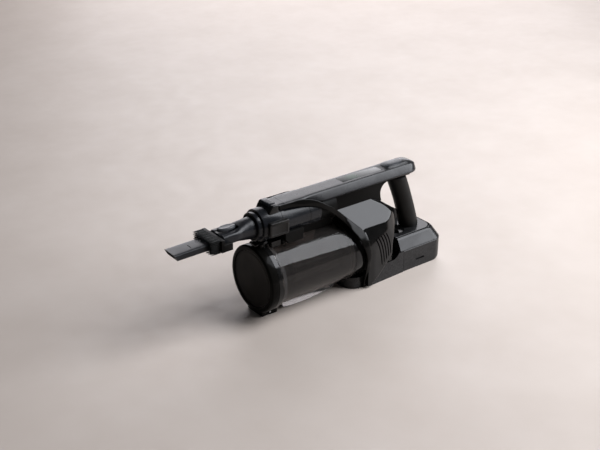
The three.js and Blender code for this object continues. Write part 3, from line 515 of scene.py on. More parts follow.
def window_film():
    """The dark display window, with a faint green glow painted on as emission round one spot."""
    material, tree, shader = shader_tree("display_window_film")
    stops = [(0.3, (0.008, 0.01, 0.009)), (0.7, (0.014, 0.017, 0.015))]
    surface(tree, shader, ramp(tree, noise(tree, 60, 3), stops), smudges(tree, 40, 4, 0.2, 0.28))
    # painted glow: green emission round one spot of the window, fading out between 4 and 16 mm from it
    place = tree.nodes.new("ShaderNodeTexCoord")
    reach = tree.nodes.new("ShaderNodeVectorMath")
    reach.operation = "DISTANCE"
    reach.inputs[1].default_value = at(197, 0, 181.2)
    tree.links.new(place.outputs["Object"], reach.inputs[0])
    painted_glow = between(tree, reach.outputs["Value"], 0.004, 0.016, 1.0, 0.0)
    stops = [(0.0, (0, 0, 0)), (1.0, (0.006, 0.03, 0.014))]
    tree.links.new(ramp(tree, painted_glow, stops), shader.inputs["Emission Color"])
    set_levels(shader, {"Emission Strength": 1.0, "Specular IOR Level": 0.2})
    bump(tree, shader, noise(tree, 1500, 2), 0.01)
    return material


GLOSS_BLACK = plastic("piano_black_plastic", (0.0045, 0.0044, 0.0043), 0.1, 700, 0.002, wear=3.0)
LID_RIM_BLACK = plastic("lid_rim_plastic", (0.004, 0.0038, 0.0034), 0.16, 800, 0.003, wear=3.0, gloss=0.05)
BAND_BLACK = plastic("band_gloss_plastic", (0.004, 0.0038, 0.0035), 0.12, 800, 0.002, wear=3.0, gloss=0.09)
# Darker and barely glossy: the own colour of some black parts, and painted shade where it darkens the rear
# of the grey duct and the neck shells in the recess under the spine.
DEEP_BLACK_AND_PAINTED_SHADE = plastic("deep_black_plastic_and_painted_shade", (0.0035, 0.0034, 0.0032), 0.4, 1300, 0.006, gloss=0.07)
SATIN_GREY = plastic("satin_grey_plastic", (0.0085, 0.0085, 0.0088), 0.24, 1500, 0.005, wear=2.6)
SPINE_GREY = plastic("spine_satin_plastic", (0.011, 0.011, 0.012), 0.26, 1500, 0.005, wear=2.4)
MATTE_BLACK = plastic("matte_black_plastic", (0.005, 0.0048, 0.0045), 0.32, 1300, 0.005)
PANEL_BLACK = plastic("lid_panel_plastic", (0.0042, 0.0034, 0.0026), 0.36, 1500, 0.008, 2.0, gloss=0.12)
DUCT_GREY = plastic("duct_grey_plastic", (0.0075, 0.0082, 0.0098), 0.22, 1400, 0.004, wear=2.6)
NOZZLE_GREY = plastic("nozzle_grey_plastic", (0.0095, 0.0104, 0.0125), 0.3, 1500, 0.006, wear=2.6)
BUTTON_SILVER = plastic("button_silver_plastic", (0.034, 0.036, 0.04), 0.26, 1300, 0.004, wear=1.8)
SMOKED = smoked_plastic("smoked_clear_plastic", (0.15, 0.137, 0.128), 0.03, 0.9)
CLEAR_EDGE = smoked_plastic("clear_edge_plastic", (0.2, 0.19, 0.185), 0.06, 0.8)
RUBBER = soft_rubber("seal_rubber", (0.007, 0.007, 0.0072), 0.7)
GRIP_RUBBER = soft_rubber("grip_rubber", (0.004, 0.0037, 0.0033), 0.5)
STEEL = brushed_metal("brushed_steel", (0.5, 0.51, 0.53), 0.3)
MOTOR_METAL = brushed_metal("motor_aluminium", (0.55, 0.56, 0.57), 0.4)
SCREEN = perforated_metal()
BRISTLE = bristle_fibre()
BOARD = circuit_board()
FILTER = pleated_filter()
CELL_WRAP = plastic("cell_wrap_film", (0.05, 0.11, 0.24), 0.35, 700, 0.02, wear=1.5)
WINDOW = window_film()

SLOT_LOOKS = {
    "gloss_black": GLOSS_BLACK,
    "satin_grey": SATIN_GREY,
    "matte_black": MATTE_BLACK,
    "duct_grey": DUCT_GREY,
    "smoked_clear": SMOKED,
    "rubber": RUBBER,
    "bristle": BRISTLE,
    "steel": STEEL,
    "motor_metal": MOTOR_METAL,
    "board_green": BOARD,
    "filter_white": FILTER,
    "cell_wrap": CELL_WRAP,
}


def place_piece(piece, body, look, node, angle=SOFT_ANGLE):
    """Shades a finished piece, gives it its material and its body, and hides the CAD node that it stands
    for.
    """
    shade(piece, angle)
    piece.data.materials.clear()
    piece.data.materials.append(look)
    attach(piece, body)
    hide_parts(node)


def second_look(piece, look, start):
    """Gives another material to the faces behind start."""
    piece.data.materials.append(look)
    start_x = at(start, 0, 0).x
    for face in piece.data.polygons:
        if face.center.x > start_x:
            face.material_index = 1


# Dust bin.


def build_bin():
    rim_radius = 52.6
    groove_radius = 50.2
    groove_end = RIM_END + 0.8
    wall = [(BIN_FRONT, BIN_INNER_RADIUS), (BIN_FRONT, rim_radius - 0.4), (BIN_FRONT + 0.4, rim_radius)]
    wall += [(RIM_END - 0.3, rim_radius), (RIM_END, rim_radius - 0.3), (RIM_END, groove_radius)]
    wall += [(groove_end, groove_radius), (groove_end + 0.1, BIN_RADIUS), (BIN_REAR - 0.4, BIN_RADIUS)]
    wall += [(BIN_REAR, BIN_RADIUS - 0.4), (BIN_REAR, BIN_INNER_RADIUS)]
    shell = turned("dust_bin_barrel", wall, BIN_AXIS_Z)

    foot_line = [bend((47, 3.4), (92, -2.4), (148.6, 8), i / 16) for i in range(17)]
    outline = [(40, 18), *foot_line, (148.6, 18)]
    keel = side_plate("keel", outline, -HINGE_HALF_WIDTH, HINGE_HALF_WIDTH)
    round_edges(keel, 1.2)
    leaf = [(34, 0.4), (34, 16), (26.5, 16), (26.5, 0.4)]
    hinge = side_plate("hinge", leaf, -HINGE_HALF_WIDTH, HINGE_HALF_WIDTH)
    for side, _ in SIDES:
        knuckle = on_side(side, KNUCKLE_HALF_WIDTH, HINGE_HALF_WIDTH)
        join(hinge, cross_bar("knuckle", HINGE_PIN, 4.2, *knuckle))
        join(hinge, block("knuckle_arm", HINGE_PIN[0], 28, *knuckle, 0.6, 8))
    ridge = block("ridge", BIN_FRONT, 27, -9, 9, 110, 116.2)
    join(keel, hinge, ridge)
    cut(keel, long_bar("inside", 20, 170, 49, BIN_AXIS_Z))
    join(shell, keel)
    cut(
        shell,
        block("mouth", 52, 76, -12, 12, 95, 116),
        cross_bar("knuckle_room", HINGE_PIN, 4.8, -KNUCKLE_HALF_WIDTH, KNUCKLE_HALF_WIDTH),
        cross_bar("pin_hole", HINGE_PIN, 1.9, -20, 20),
    )
    place_piece(shell, "dust_bin", SMOKED, "bin_shell")
    shell.data.materials.append(CLEAR_EDGE)
    shell.data.materials.append(LID_RIM_BLACK)
    rim_end = at(groove_end + 0.15, 0, 0).x
    hinge_end = at(36, 0, 0).x
    keel_skin = 12 * MM
    hinge_top = 8.3 * MM
    for face in shell.data.polygons:
        if face.center.x < hinge_end and face.center.z < hinge_top:
            face.material_index = 2
        elif face.center.x < rim_end or face.center.z < keel_skin:
            face.material_index = 1

    start = BIN_REAR + 0.3
    ring = [(start, 46.8), (start, 50.6), (start + 0.4, BIN_RADIUS), (185.6, BIN_RADIUS)]
    ring += [(186.4, 50.8), (188, 48.6), (192, 48.6), (192, 46.8)]
    band = turned("bin_rear_band", ring, BIN_AXIS_Z)
    place_piece(band, "dust_bin", GLOSS_BLACK, "bin_rear_ring")


# Lid and latch.


def build_lid():
    band_start = 14
    rear = 21.5
    face = [(3, 0), (3, 46.5), (0.45, 46.6), (0.1, 47.2), (0, 48), (0, 52.2), (0.35, 53.2), (1, 54)]
    face += [(1.8, 54.6), (2.8, LID_RADIUS), (13.2, LID_RADIUS), (13.3, 54.5), (band_start, 54.5)]
    face += [(14.1, 54.9), (21.2, 54.9), (rear, 54.6), (rear, 52.6), (7.5, 52), (5.5, 49), (5.5, 0)]
    lid = turned("dust_bin_lid", face, BIN_AXIS_Z)
    outline = [(5, 0.6), (14.6, 0.6), (16.2, 2.2), (16.2, 12), (5, 12)]
    foot = side_plate("foot", outline, -HINGE_HALF_WIDTH, HINGE_HALF_WIDTH)
    round_edges(foot, 0.6)
    for side, _ in SIDES:
        join(foot, round_edges(block("ear", 9, 18, *on_side(side, 9, 12), 108, 121.5), 0.8))
    cut(foot, long_bar("hollow", 5.6, 23, 52, BIN_AXIS_Z))
    join(foot, cross_bar("knuckle", HINGE_PIN, 4.2, -9, 9), block("bridge", 15, 21, -9, 9, 0.8, 8))
    join(lid, foot)
    for side, _ in SIDES:
        cut(lid, cross_bar("knuckle_room", HINGE_PIN, 4.7, *on_side(side, 9, 20)))
    cut(lid, cross_bar("pin_hole", HINGE_PIN, 1.9, -19, 19))
    cut(lid, cross_bar("pivot_hole", LATCH_PIVOT, 1.6, -13, 13))
    place_piece(lid, "lid", LID_RIM_BLACK, "bin_lid")
    second_look(lid, GLOSS_BLACK, band_start)

    # a shallow dish with a raised ring and a fine groove at its edge
    dish = [(1.25, 0), (1.25, 30), (1.15, 40), (0.95, 43.2), (1.25, 43.6), (1.25, 44.1), (0.95, 44.5)]
    dish += [(0.95, 45.6), (1.3, 46.2), (2.7, 46.2), (2.7, 0)]
    panel = turned("lid_face_panel", dish, BIN_AXIS_Z)
    place_piece(panel, "lid", PANEL_BLACK, "lid_panel")


def build_latch():
    outline = [(3.2, 118.1), (2.6, 120.9), (6, 122.4), (22, 122.4), (27, 121.2), (27, 116.6), (21, 116.6)]
    outline += [(19, 117.6)]
    lever = round_edges(side_plate("lid_rocker", outline, -8.6, 8.6), 0.8)
    for i in range(4):
        cut(lever, block("rib", 5.2 + 2.2 * i, 6 + 2.2 * i, -6.5, 6.5, 122, 123))
    join(lever, cross_bar("trunnion", LATCH_PIVOT, 1.3, -11.8, 11.8))
    place_piece(lever, "latch", GLOSS_BLACK, "lid_latch")


# Inlet.


def collar_room():
    """The space that the collar needs in the pieces round it."""
    return long_bar("collar_room", 0, 60, COLLAR_RADIUS + 0.3, INLET_AXIS_Z)


def build_inlet():
    rim = [(0.5, 20.6), (0.5, 21.5), (0.9, 22.2), (1.6, 22.5), (7.7, 22.5), (8, 22.2), (8, 20.6)]
    front_rim = turned("inlet_front_rim", rim, INLET_AXIS_Z)
    place_piece(front_rim, "main_body", DUCT_GREY, "inlet_rim")

    ring = [(8.3, 21.8), (8.3, 25), (8.7, 25.7), (9.4, 26), (43, 26), (43.3, 25.6), (43.9, 25.6)]
    ring += [(44.2, 26), (49.2, 26), (49.7, 25.5), (49.7, 21.8)]
    collar = turned("inlet_round_collar", ring, INLET_AXIS_Z)
    place_piece(collar, "main_body", DUCT_GREY, "inlet_collar")

    tube = [(147, 0), (147, 21), (42, 21), (40, 17.6), (8.3, 17.6), (8.3, 21.5), (50.3, 21.5), (50.3, 23.7)]
    tube += [(50.6, DUCT_RADIUS), (96, DUCT_RADIUS), (96.3, 23.6), (97, 23.6), (97.3, DUCT_RADIUS)]
    tube += [(117.6, DUCT_RADIUS), (SLEEVE_START, 23.6), (119.2, 23.1), (150, 23), (150, 0)]
    duct = cut(turned("suction_duct", tube, INLET_AXIS_Z), block("passage", 55, 73, -9, 9, 120, 145))
    place_piece(duct, "main_body", DUCT_GREY, "inlet_duct")
    # painted shade: behind the step at SLEEVE_START the grey duct runs in under the spine and band, and
    # takes the darker black
    second_look(duct, DEEP_BLACK_AND_PAINTED_SHADE, SLEEVE_START)


def build_side_covers():
    """Flat covers beside the collar, each with a lip along its top and a sunk panel."""
    outline = [(15, 140), (15, 159), (17, 161), (50, 161), (50, 140), (48, 138), (17, 138)]
    for side, hand in SIDES:
        cover = round_edges(side_plate("side_cover_" + hand, outline, *on_side(side, 18, 31)), 0.8)
        panel = round_edges(block("panel", 18.5, 46.5, *on_side(side, 30.3, 33), 141.5, 156.2), 0.25)
        seam = block("lip_seam", 14, 52, *on_side(side, 29.8, 33), 157.6, 158.1)
        cut(cover, collar_room(), panel, seam)
        place_piece(cover, "main_body", MATTE_BLACK, "inlet_side_cover_" + hand)


# Spine.


def spine_edge(x):
    """Where the side of the spine ends below: its half-width and height."""
    t = smoothstep(*BAND_LEAVES, x)
    return 16.2 + (SPINE_EDGE_HALF - 16.2) * t, 176.5 + (SPINE_EDGE_Z - 176.5) * t


def tail_crown(x):
    """How far the middle of the top swells round the power button."""
    return TAIL_CROWN * smoothstep(253, 272, x) * (1 - smoothstep(302, SPINE_END, x))


def spine_section(x):
    edge_half, edge_z = spine_edge(x)
    past = max(0.0, (x - SPINE_STRAIGHT_END) / (SPINE_END - SPINE_STRAIGHT_END))
    shrink = sqrt(max(0.004, 1 - past * past))
    drop = 7 * past**3
    half = SPINE_TOP_HALF * shrink
    edge_half *= shrink
    # beside the front of the spine the shoulder reaches out to the side band
    ledge = 1.5 * (1 - smoothstep(84, 104, x)) * smoothstep(50, 53, x)
    crown = tail_crown(x)
    side = [
        (edge_half - 1.6 * shrink, edge_z - 2.4),
        (edge_half - 0.6 * shrink, edge_z - 1.6),
        (edge_half, edge_z),
        (edge_half - 0.3 * shrink + 0.6 * ledge, edge_z + 1.1),
        (half + 1.5 * shrink + ledge, SPINE_TOP - 2.6 - drop),
        (half + 0.7 * shrink + ledge, SPINE_TOP - 1.4 - drop),
        (half - 0.5 * shrink + ledge, SPINE_TOP - 0.6 - drop),
        (half - 1.8 * shrink, SPINE_TOP - 0.2 - drop),
        (half * 0.72, SPINE_TOP - drop + 0.5 * crown),
        (half * 0.5, SPINE_TOP - drop + 0.82 * crown),
        (half * 0.25, SPINE_TOP - drop + 0.97 * crown),
    ]
    return [(x, y, z) for y, z in side] + [(x, -y, z) for y, z in reversed(side)]


def spine_stations(x0, x1):
    stations = [x0]
    x = 56
    while x < min(x1, SPINE_STRAIGHT_END) - 1:
        if x > x0 + 1:
            stations.append(x)
        x += 3
    for i in range(17):
        x = SPINE_STRAIGHT_END + (SPINE_END - SPINE_STRAIGHT_END) * sin(i / 16 * pi / 2)
        if stations[-1] + 0.2 < x < x1:
            stations.append(x)
    return stations + [x1]


def build_spine():
    cap = lofted("spine_top_cover", [spine_section(x) for x in spine_stations(SPINE_FRONT, SPINE_END)])
    cut(
        cap,
        long_bar("duct_room", 40, 152, DUCT_RADIUS + 0.5, INLET_AXIS_Z),
        block("window_seat", 171.7, 254.3, -9.3, 9.3, 179.2, 190),
        block("board_pocket", 166, 262, -12, 12, 160, 177),
        upright("button_hole", KEY_X, 20.9, 11.4, 160, 190),
    )
    place_piece(cap, "main_body", SPINE_GREY, "spine_cap")

    trim = lofted("spine_front_trim", [spine_section(x) for x in (41.6, 45, 49, 52.2)])
    cut(trim, collar_room())
    place_piece(trim, "main_body", SPINE_GREY, "spine_trim")

    corners = [(172, -7), (174, -9), (252, -9), (254, -7), (254, 7), (252, 9), (174, 9), (172, 7)]
    pane = round_edges(plan_plate("display_pane", corners, 179.5, 181.05), 0.15)
    place_piece(pane, "main_body", WINDOW, "display_window")

    # an oval key whose top follows the crown of the spine, with a fine seam round it
    raised = [[(x, y, z + 0.25) for x, y, z in spine_section(x)] for x in spine_stations(256, 306)]
    button = upright("power_button_crown", KEY_X, 20.5, 11, 174, 190)
    combine(button, lofted("raised_crown", raised), "INTERSECT")
    round_edges(button, 0.3, 3, 50)
    place_piece(button, "power", BUTTON_SILVER, "power_button", angle=50)


def build_spring():
    """The coil under the power key."""
    coil, wire, foot, rise, turns = 4, 0.45, 166.2, 6.9, 3
    steps = 32  # sections of one turn
    rings = []
    for i in range(turns * steps + 1):
        angle = 2 * pi * i / steps
        height = foot + rise * i / (turns * steps)
        ring = []
        for across, up in circle(wire, 12):
            reach = coil + across
            ring.append((KEY_X + reach * cos(angle), reach * sin(angle), height + up))
        rings.append(ring)
    spring = lofted("power_button_coil", rings)
    place_piece(spring, "main_body", STEEL, "power_button_spring", angle=60)
    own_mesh(spring)


def build_hood():
    outline = [(21.2, 166), (22.1, 172), (24.3, 176.2), (27.2, 180.6), (28.4, 181.8), (30.4, 182.5)]
    outline += [(41.2, 182.5), (41.2, 166)]
    hood = round_edges(side_plate("inlet_hood", outline, -17.4, 17.4), 2.4, 5)
    cut(hood, collar_room(), block("button_pocket", 24.9, 39.3, -10.4, 10.4, 178.3, 190))
    place_piece(hood, "main_body", GLOSS_BLACK, "hood")

    outline = [(25.2, 180.1), (26.7, 182.8), (29, 184), (37.6, 184), (39, 183), (39, 180.1)]
    button = round_edges(side_plate("wand_release_key", outline, -10.1, 10.1), 0.6)
    for i in range(3):
        cut(button, block("rib", 30 + 2.4 * i, 30.8 + 2.4 * i, -7, 7, 183.6, 185))
    place_piece(button, "wand_release", DUCT_GREY, "wand_release_button")


def build_neck():
    outline = [(RIDGE_FRONT, 165), (314, 165), (314, 158)]
    outline += [bend((264, 158), (251.5, 155), (250.5, 142), i / 14) for i in range(15)]
    outline += [bend((250.5, 142), (250.4, 134), (255, 122), i / 8) for i in range(1, 9)]
    outline += [(RIDGE_FRONT, 122)]
    for side, hand in SIDES:
        shell = side_plate("neck_shell_" + hand, outline, *on_side(side, 0.15, 10.5))
        round_edges(shell, 0.9)
        hollow = block("hollow", 180, 240, *on_side(side, 0.15, 9), 142, 158)
        cut(shell, cowl_block("cowl_room", 0.3), hollow)
        # the neck shells' own black, darkened further as painted shade in the recess under the spine
        place_piece(shell, "main_body", DEEP_BLACK_AND_PAINTED_SHADE, "spine_frame_" + hand)


# Side bands.


def band_half_width(z):
    outer = COWL_RADIUS + 2.4
    if z > FLANK_FOOT:
        foot_half = sqrt(outer**2 - (FLANK_FOOT - MOTOR_AXIS_Z) ** 2)
        return max(foot_half - 0.923 * (z - FLANK_FOOT), 27.4 - 3 * smoothstep(150, 168, z))
    curl_start = 34
    on_barrel = sqrt(outer**2 - (max(z, curl_start) - MOTOR_AXIS_Z) ** 2)
    return on_barrel - 0.006 * max(0.0, curl_start - z) ** 2


def smoothed(values, reach):
    """Each value as the mean of its neighbours up to reach steps away."""
    found = []
    for i in range(len(values)):
        span = min(reach, i, len(values) - 1 - i)
        near = values[i - span : i + span + 1]
        found.append(sum(near) / len(near))
    return found


def band_rail(points, steps, beside_spine):
    """One edge of the right band. It leaves the spine at the half-width that beside_spine gives."""
    rail = curve_through(points, steps)
    halves = []
    for x, z in rail:
        start = beside_spine(x)
        halves.append(start + (band_half_width(z) - start) * smoothstep(*BAND_LEAVES, x))
    return [Vector((x, -half, z)) for (x, z), half in zip(rail, smoothed(halves, 4))]


def build_bands():
    rear_points = [(41.6, 180.6), (60, 180.5), (82, 180), (106, 173.5), (127, 161), (144.5, 148)]
    rear_points += [(163, 131), (178.5, 116), (186, 107.5), (189.2, 98), (191.6, 84), (193.6, 68)]
    rear_points += [(195.6, 52), (199, 33), (200.2, 18), (200.4, 0.7)]
    front_points = [(41.6, 173), (65, 172), (88, 168.6), (112, 160.5), (133, 147), (150, 132)]
    front_points += [(163, 118), (169, 108), (173.5, 99), (178, 87), (182, 75), (185.4, 63), (188, 49)]
    front_points += [(190, 34), (190.4, 18), (190.4, 0.7)]
    steps = 84
    thickness = 1.6
    profile = ((0, 0.5), (0.05, 0.12), (0.14, 0.0), (0.5, -0.2), (0.86, 0.0), (0.95, 0.12), (1, 0.5))
    rear_rail = band_rail(rear_points, steps, lambda x: spine_edge(x)[0] + 2.5)
    front_rail = band_rail(front_points, steps, lambda x: 18.6 + 4.4 * smoothstep(42, 100, x))
    rows = list(zip(rear_rail, front_rail))
    sections = []
    for i, (rear, front) in enumerate(rows):
        before = rows[max(0, i - 1)]
        after = rows[min(steps, i + 1)]
        along = (after[0] + after[1] - before[0] - before[1]).normalized()
        across = (front - rear).normalized()
        inward = along.cross(across).normalized()
        if inward.y < 0:
            inward.negate()
        # the outer face bulges a little between its rounded edges
        outer_face = [rear.lerp(front, share) + inward * (sink + 0.1) for share, sink in profile]
        sections.append(outer_face + [front + inward * thickness, rear + inward * thickness])
    for side, hand in SIDES:
        rings = [[(x, -side * y, z) for x, y, z in section] for section in sections]
        band = lofted("curved_band_" + hand, rings)
        place_piece(band, "main_body", BAND_BLACK, "side_band_" + hand, angle=40)


# Motor housing.


def least_of(values, softness):
    """The least of the values, with the corner where two of them meet rounded off."""
    least = values[0]
    for value in values[1:]:
        share = min(1.0, max(0.0, 0.5 + 0.5 * (least - value) / softness))
        least = least + (value - least) * share - softness * share * (1 - share)
    return least


def cowl_rear(z):
    """Where the housing ends on its plane of symmetry."""
    rise = max(0.0, z - MOTOR_AXIS_Z) / COWL_RADIUS
    dome = DOME_START + (COWL_REAR - DOME_START) * max(0.0, 1 - rise**2.6) ** 0.385
    return max(dome, 265 - 1.42 * (z - 118))


def cowl_half(x, z):
    """The half-width: a sloping flank, a steep side wall and a corner before the rounded rear."""
    flank_slope = 0.912
    flank = RIDGE_HALF + (RIDGE_TOP - z) * flank_slope
    foot_z = FLANK_FOOT + 0.02 * max(0.0, x - 235) ** 2
    under_flank = RIDGE_HALF + (RIDGE_TOP - foot_z) * flank_slope + 0.3 * (foot_z - z)
    wall = 43.8 + 0.13 * (256 - x)
    base_half = 45 - 3 * (x - 201) / 78
    if z < BASE_TOP + 3:
        # the wall stands proud of the base above a slanting line
        line_z = 3 + 41 * max(0.0, (x - 199) / 53.7) ** 1.3
        hidden = base_half - 1.2
        wall = hidden + (wall - hidden) * smoothstep(line_z - 1.2, line_z + 1.2, z)
    lean = 5 * smoothstep(60, 96, z) - 0.034 * max(0.0, z - 98) ** 2
    corner = 40.5 - 1.3 * (x - 254 - lean)
    near_end = min(1.0, max(0.0, (x - cowl_rear(z) + 22) / 22))
    end_round = 50 * sqrt(1 - near_end**2)
    half = least_of([least_of([flank, under_flank], 1.2), wall], 2.5)
    band_edge = 189 + 0.11 * (102 - z)
    if z < FLANK_FOOT:
        # a low shoulder fills the space under the edge of the band
        shoulder = max(0.0, band_half_width(z) - 2.4 - half)
        half += shoulder * (1 - smoothstep(band_edge - 0.5, band_edge + 2, x))
    return min(max(0.4, least_of([half, corner], 1.6)), end_round)


def cowl_block(name, offset):
    """The whole outside of the motor housing as level outlines, grown by offset."""
    front = RIDGE_FRONT - offset
    levels = [4 + 2.1 * k for k in range(48)] + [104.2, 105, FLANK_FOOT, 106.2, 107]
    levels += [RIDGE_TOP - 28 + 2 * k for k in range(14)] + [RIDGE_TOP - 0.6, RIDGE_TOP]
    rings = []
    for z in levels:
        side = []
        rear = cowl_rear(z) + offset
        for i in range(91):
            share = i / 90
            x = front + (rear - front) * (0.45 * share + 0.55 * sin(share * pi / 2))
            half = cowl_half(x - offset, z) + offset if i < 90 else 0
            side.append((x, half, z + offset))
        rings.append([(x, -y, z) for x, y, z in side] + [(x, y, z) for x, y, z in reversed(side[:-1])])
    return lofted(name, rings)


def vent_outline(top, foot):
    """A slightly bowed slot with rounded ends."""
    bow = 2.6
    half_widths = {0: 0.4, 0.04: 1.0, 0.12: 1.25, 0.3: 1.25, 0.5: 1.25, 0.7: 1.25, 0.88: 1.25}
    half_widths.update({0.96: 1.0, 1: 0.4})
    rear_edge = []
    front_edge = []
    for share, half in half_widths.items():
        x = top[0] + (foot[0] - top[0]) * share + bow * sin(pi * share)
        z = top[1] + (foot[1] - top[1]) * share
        rear_edge.append((x + half, z))
        front_edge.append((x - half, z))
    return rear_edge + front_edge[::-1]


def build_cowl():
    cowl = cowl_block("motor_housing", 0)
    outline = [(RIDGE_FRONT - 1, 150), (RIDGE_FRONT - 1, 134), (157, 128), (162, 122), (170, 113)]
    outline += [(184, 97), (189, 93.6), (COWL_FRONT, 92), (COWL_FRONT, 0), (300, 0), (300, 150)]
    combine(cowl, side_plate("outline", outline, -64, 64), "INTERSECT")
    hollow = [(COWL_FRONT - 1, 0), (COWL_FRONT - 1, 49.2), (198, 49.2), (198, 38), (244, 38)]
    hollow += [(262, 26), (268, 0)]
    cut(
        cowl,
        turned("hollow", hollow, MOTOR_AXIS_Z, 96),
        long_bar("bin_room", 150, DOCK_FRONT + 1, 51.8, BIN_AXIS_Z),
        long_bar("dock_room", 188.5, COWL_FRONT, 56, DOCK_AXIS_Z),
        block("base_room", 197, 290, -39, 39, 0, BASE_TOP - 4),
        block("battery_room", BATTERY_FRONT - 0.5, 400, -60, 60, -5, BATTERY_TOP + 0.5),
    )
    for i in range(5):
        top = (211.5 + 5.6 * i, 84 + 1.5 * min(i, 3))
        foot = (226 + 5.2 * i, 33 + 3.4 * i)
        outline = vent_outline(top, foot)
        for side, _ in SIDES:
            cut(cowl, side_plate("vent", outline, *on_side(side, 20, 64)))
    place_piece(cowl, "main_body", GLOSS_BLACK, "motor_cowl")

    rings = []
    for x, outer, inner in ((226, 37, 34.5), (252, 37, 34.5), (252, 32, 29.5), (226, 32, 29.5)):
        folded = zip(circle(outer, 180)[::2], circle(inner, 180)[1::2])
        rings.append([(x, y, MOTOR_AXIS_Z + z) for fold in folded for y, z in fold])
    pleats = lofted("exhaust_filter_pleats", rings, closed=True)
    place_piece(pleats, "main_body", FILTER, "exhaust_filter")

    mount = [(217.8, 24.4), (217.8, 36.4), (218.4, 37), (222, 37), (222.6, 36.4), (222.6, 24.4)]
    mount_ring = turned("motor_rubber_mount", mount, MOTOR_AXIS_Z, 72)
    place_piece(mount_ring, "main_body", RUBBER, "motor_mount_front")

    ring = [(DOCK_FRONT, 50.2), (DOCK_FRONT, 54.7), (189.3, 55.2), (194.2, 55.2), (194.7, 54.7)]
    ring += [(194.7, 50.2)]
    dock = turned("dock_seat_ring", ring, DOCK_AXIS_Z)
    combine(dock, long_bar("limit", 180, 200, 55.4, MOTOR_AXIS_Z), "INTERSECT")
    place_piece(dock, "main_body", GLOSS_BLACK, "dock_ring")


# Base and battery.


def plan_outline(x0, x1, half, corner):
    """A plan outline with square corners at x0 and rounded corners at x1."""
    steps = 16
    outline = [(x0, -half)]
    for centre_y, start in ((-half + corner, -90), (half - corner, 0)):
        for i in range(steps + 1):
            angle = radians(start + 90 * i / steps)
            outline.append((x1 - corner + corner * cos(angle), centre_y + corner * sin(angle)))
    return outline + [(x0, half)]


def grip_centre(z):
    lean = (GRIP_FOOT[0] - GRIP_TOP[0]) / (GRIP_FOOT[1] - GRIP_TOP[1])
    return GRIP_TOP[0] + (z - GRIP_TOP[1]) * lean


def core_room(top):
    """The space that the core of the grip needs."""
    return lofted("core_room", [level_ellipse(grip_centre(z), z, 12.5, 10.5) for z in (50, top)])


def oval_ball(name, x, z, semi_x, semi_y, semi_z):
    rows = 24
    rings = [[(x, 0, z - semi_z)]]
    for k in range(1, rows):
        lift = pi * (k / rows - 0.5)
        girth = cos(lift)
        rings.append(level_ellipse(x, z + semi_z * sin(lift), semi_x * girth, semi_y * girth, 48))
    rings.append([(x, 0, z + semi_z)])
    return lofted(name, rings)


def build_cover():
    def level(side_inset, rear_inset, z):
        corner = BASE_CORNER - side_inset * 0.35
        outline = plan_outline(COVER_FRONT, BASE_REAR - rear_inset, BASE_HALF_WIDTH - side_inset, corner)
        return [(x, y, z) for x, y in outline]

    levels = [(0.3, 0.3, COVER_FOOT), (0, 0, COVER_FOOT + 0.4), (0.1, 0.1, COVER_FOOT + 0.9)]
    levels += [(0.6, 0.6, 40.6), (8, 11, 56.6), (8.6, 11.8, 57.6), (9.8, 13, 58.8), (11.4, 14.8, 59.7)]
    # a groove round the raised plateau
    levels += [(11.6, 15, 57), (13.6, 17, 57), (13.7, 17.1, 60.1), (14.1, 17.6, COVER_TOP)]
    cover = lofted("battery_bay_cover", [level(*one) for one in levels])
    hollow = lofted("hollow", [level(5, 5, 37), level(16, 19, 55)])
    combine(hollow, block("limit", 276.4, 380, -60, 60, 0, 100), "INTERSECT")
    scoop = oval_ball("scoop", 292, COVER_TOP + 2, 17, 19, 9)
    cut(cover, hollow, scoop, cowl_block("cowl_room", 0.5), core_room(70))
    place_piece(cover, "main_body", SATIN_GREY, "base_cover")


def build_battery():
    levels = []
    foot_round = 7
    for i in range(9):
        angle = pi / 2 * i / 8
        inset = foot_round * (1 - sin(angle))
        levels.append((inset, 0.12 * inset, 0.5 * inset, foot_round * (1 - cos(angle))))
    levels += [(0, 0, 0, BATTERY_TOP - 0.7), (0.7, 0.7, 0.5, BATTERY_TOP)]
    rings = []
    for rear, side, tighter, z in levels:
        corner = BASE_CORNER - tighter
        outline = plan_outline(BATTERY_FRONT, BASE_REAR - rear, BASE_HALF_WIDTH - side, corner)
        rings.append([(x, y, z) for x, y in outline])
    case = lofted("battery_housing", rings)
    inner = plan_plate("inner", plan_outline(BATTERY_FRONT + 3, BASE_REAR - 5, 37.5, 17), 3.4, 45)
    slot = round_edges(block("charge_slot", 307, 326, -50, -30, 13.6, 16.6), 1.2, 4)
    button_hole = block("button_hole", 363, 378, -9.3, 9.3, 20.7, 30.3)
    cut(case, inner, slot, button_hole)
    place_piece(case, "battery", SATIN_GREY, "battery_case")

    outline = [(364, 21), (371, 21), (371.7, 21.8), (371.7, 29.2), (371, 30), (364, 30)]
    latch = round_edges(side_plate("battery_release_key", outline, -9, 9), 0.5)
    for i in range(3):
        cut(latch, block("rib", 371.3, 373, -6.5, 6.5, 23.3 + 2 * i, 24 + 2 * i))
    place_piece(latch, "battery_latch", MATTE_BLACK, "battery_latch_button")


# Grip.


def build_grip():
    rings = []
    low, high = COVER_TOP + 0.3, 157.7
    steps = 40
    for i in range(steps + 1):
        share = i / steps
        z = low + (high - low) * share
        waist = sin(pi * share)
        rounding = min(1.0, 12 * share, 12 * (1 - share))
        ease = 1.1 * (1 - sqrt(1 - (1 - rounding) ** 2))
        semi_x = 18 - 0.8 * waist - ease
        semi_y = 15.5 - 0.8 * waist - ease
        rings.append(level_ellipse(grip_centre(z) + 2.4 * waist, z, semi_x, semi_y, 96))
    sleeve = lofted("grip_soft_sleeve", rings)
    cut(sleeve, core_room(165))
    place_piece(sleeve, "main_body", GRIP_RUBBER, "grip_sleeve", angle=40)


# Crevice nozzle and brush.


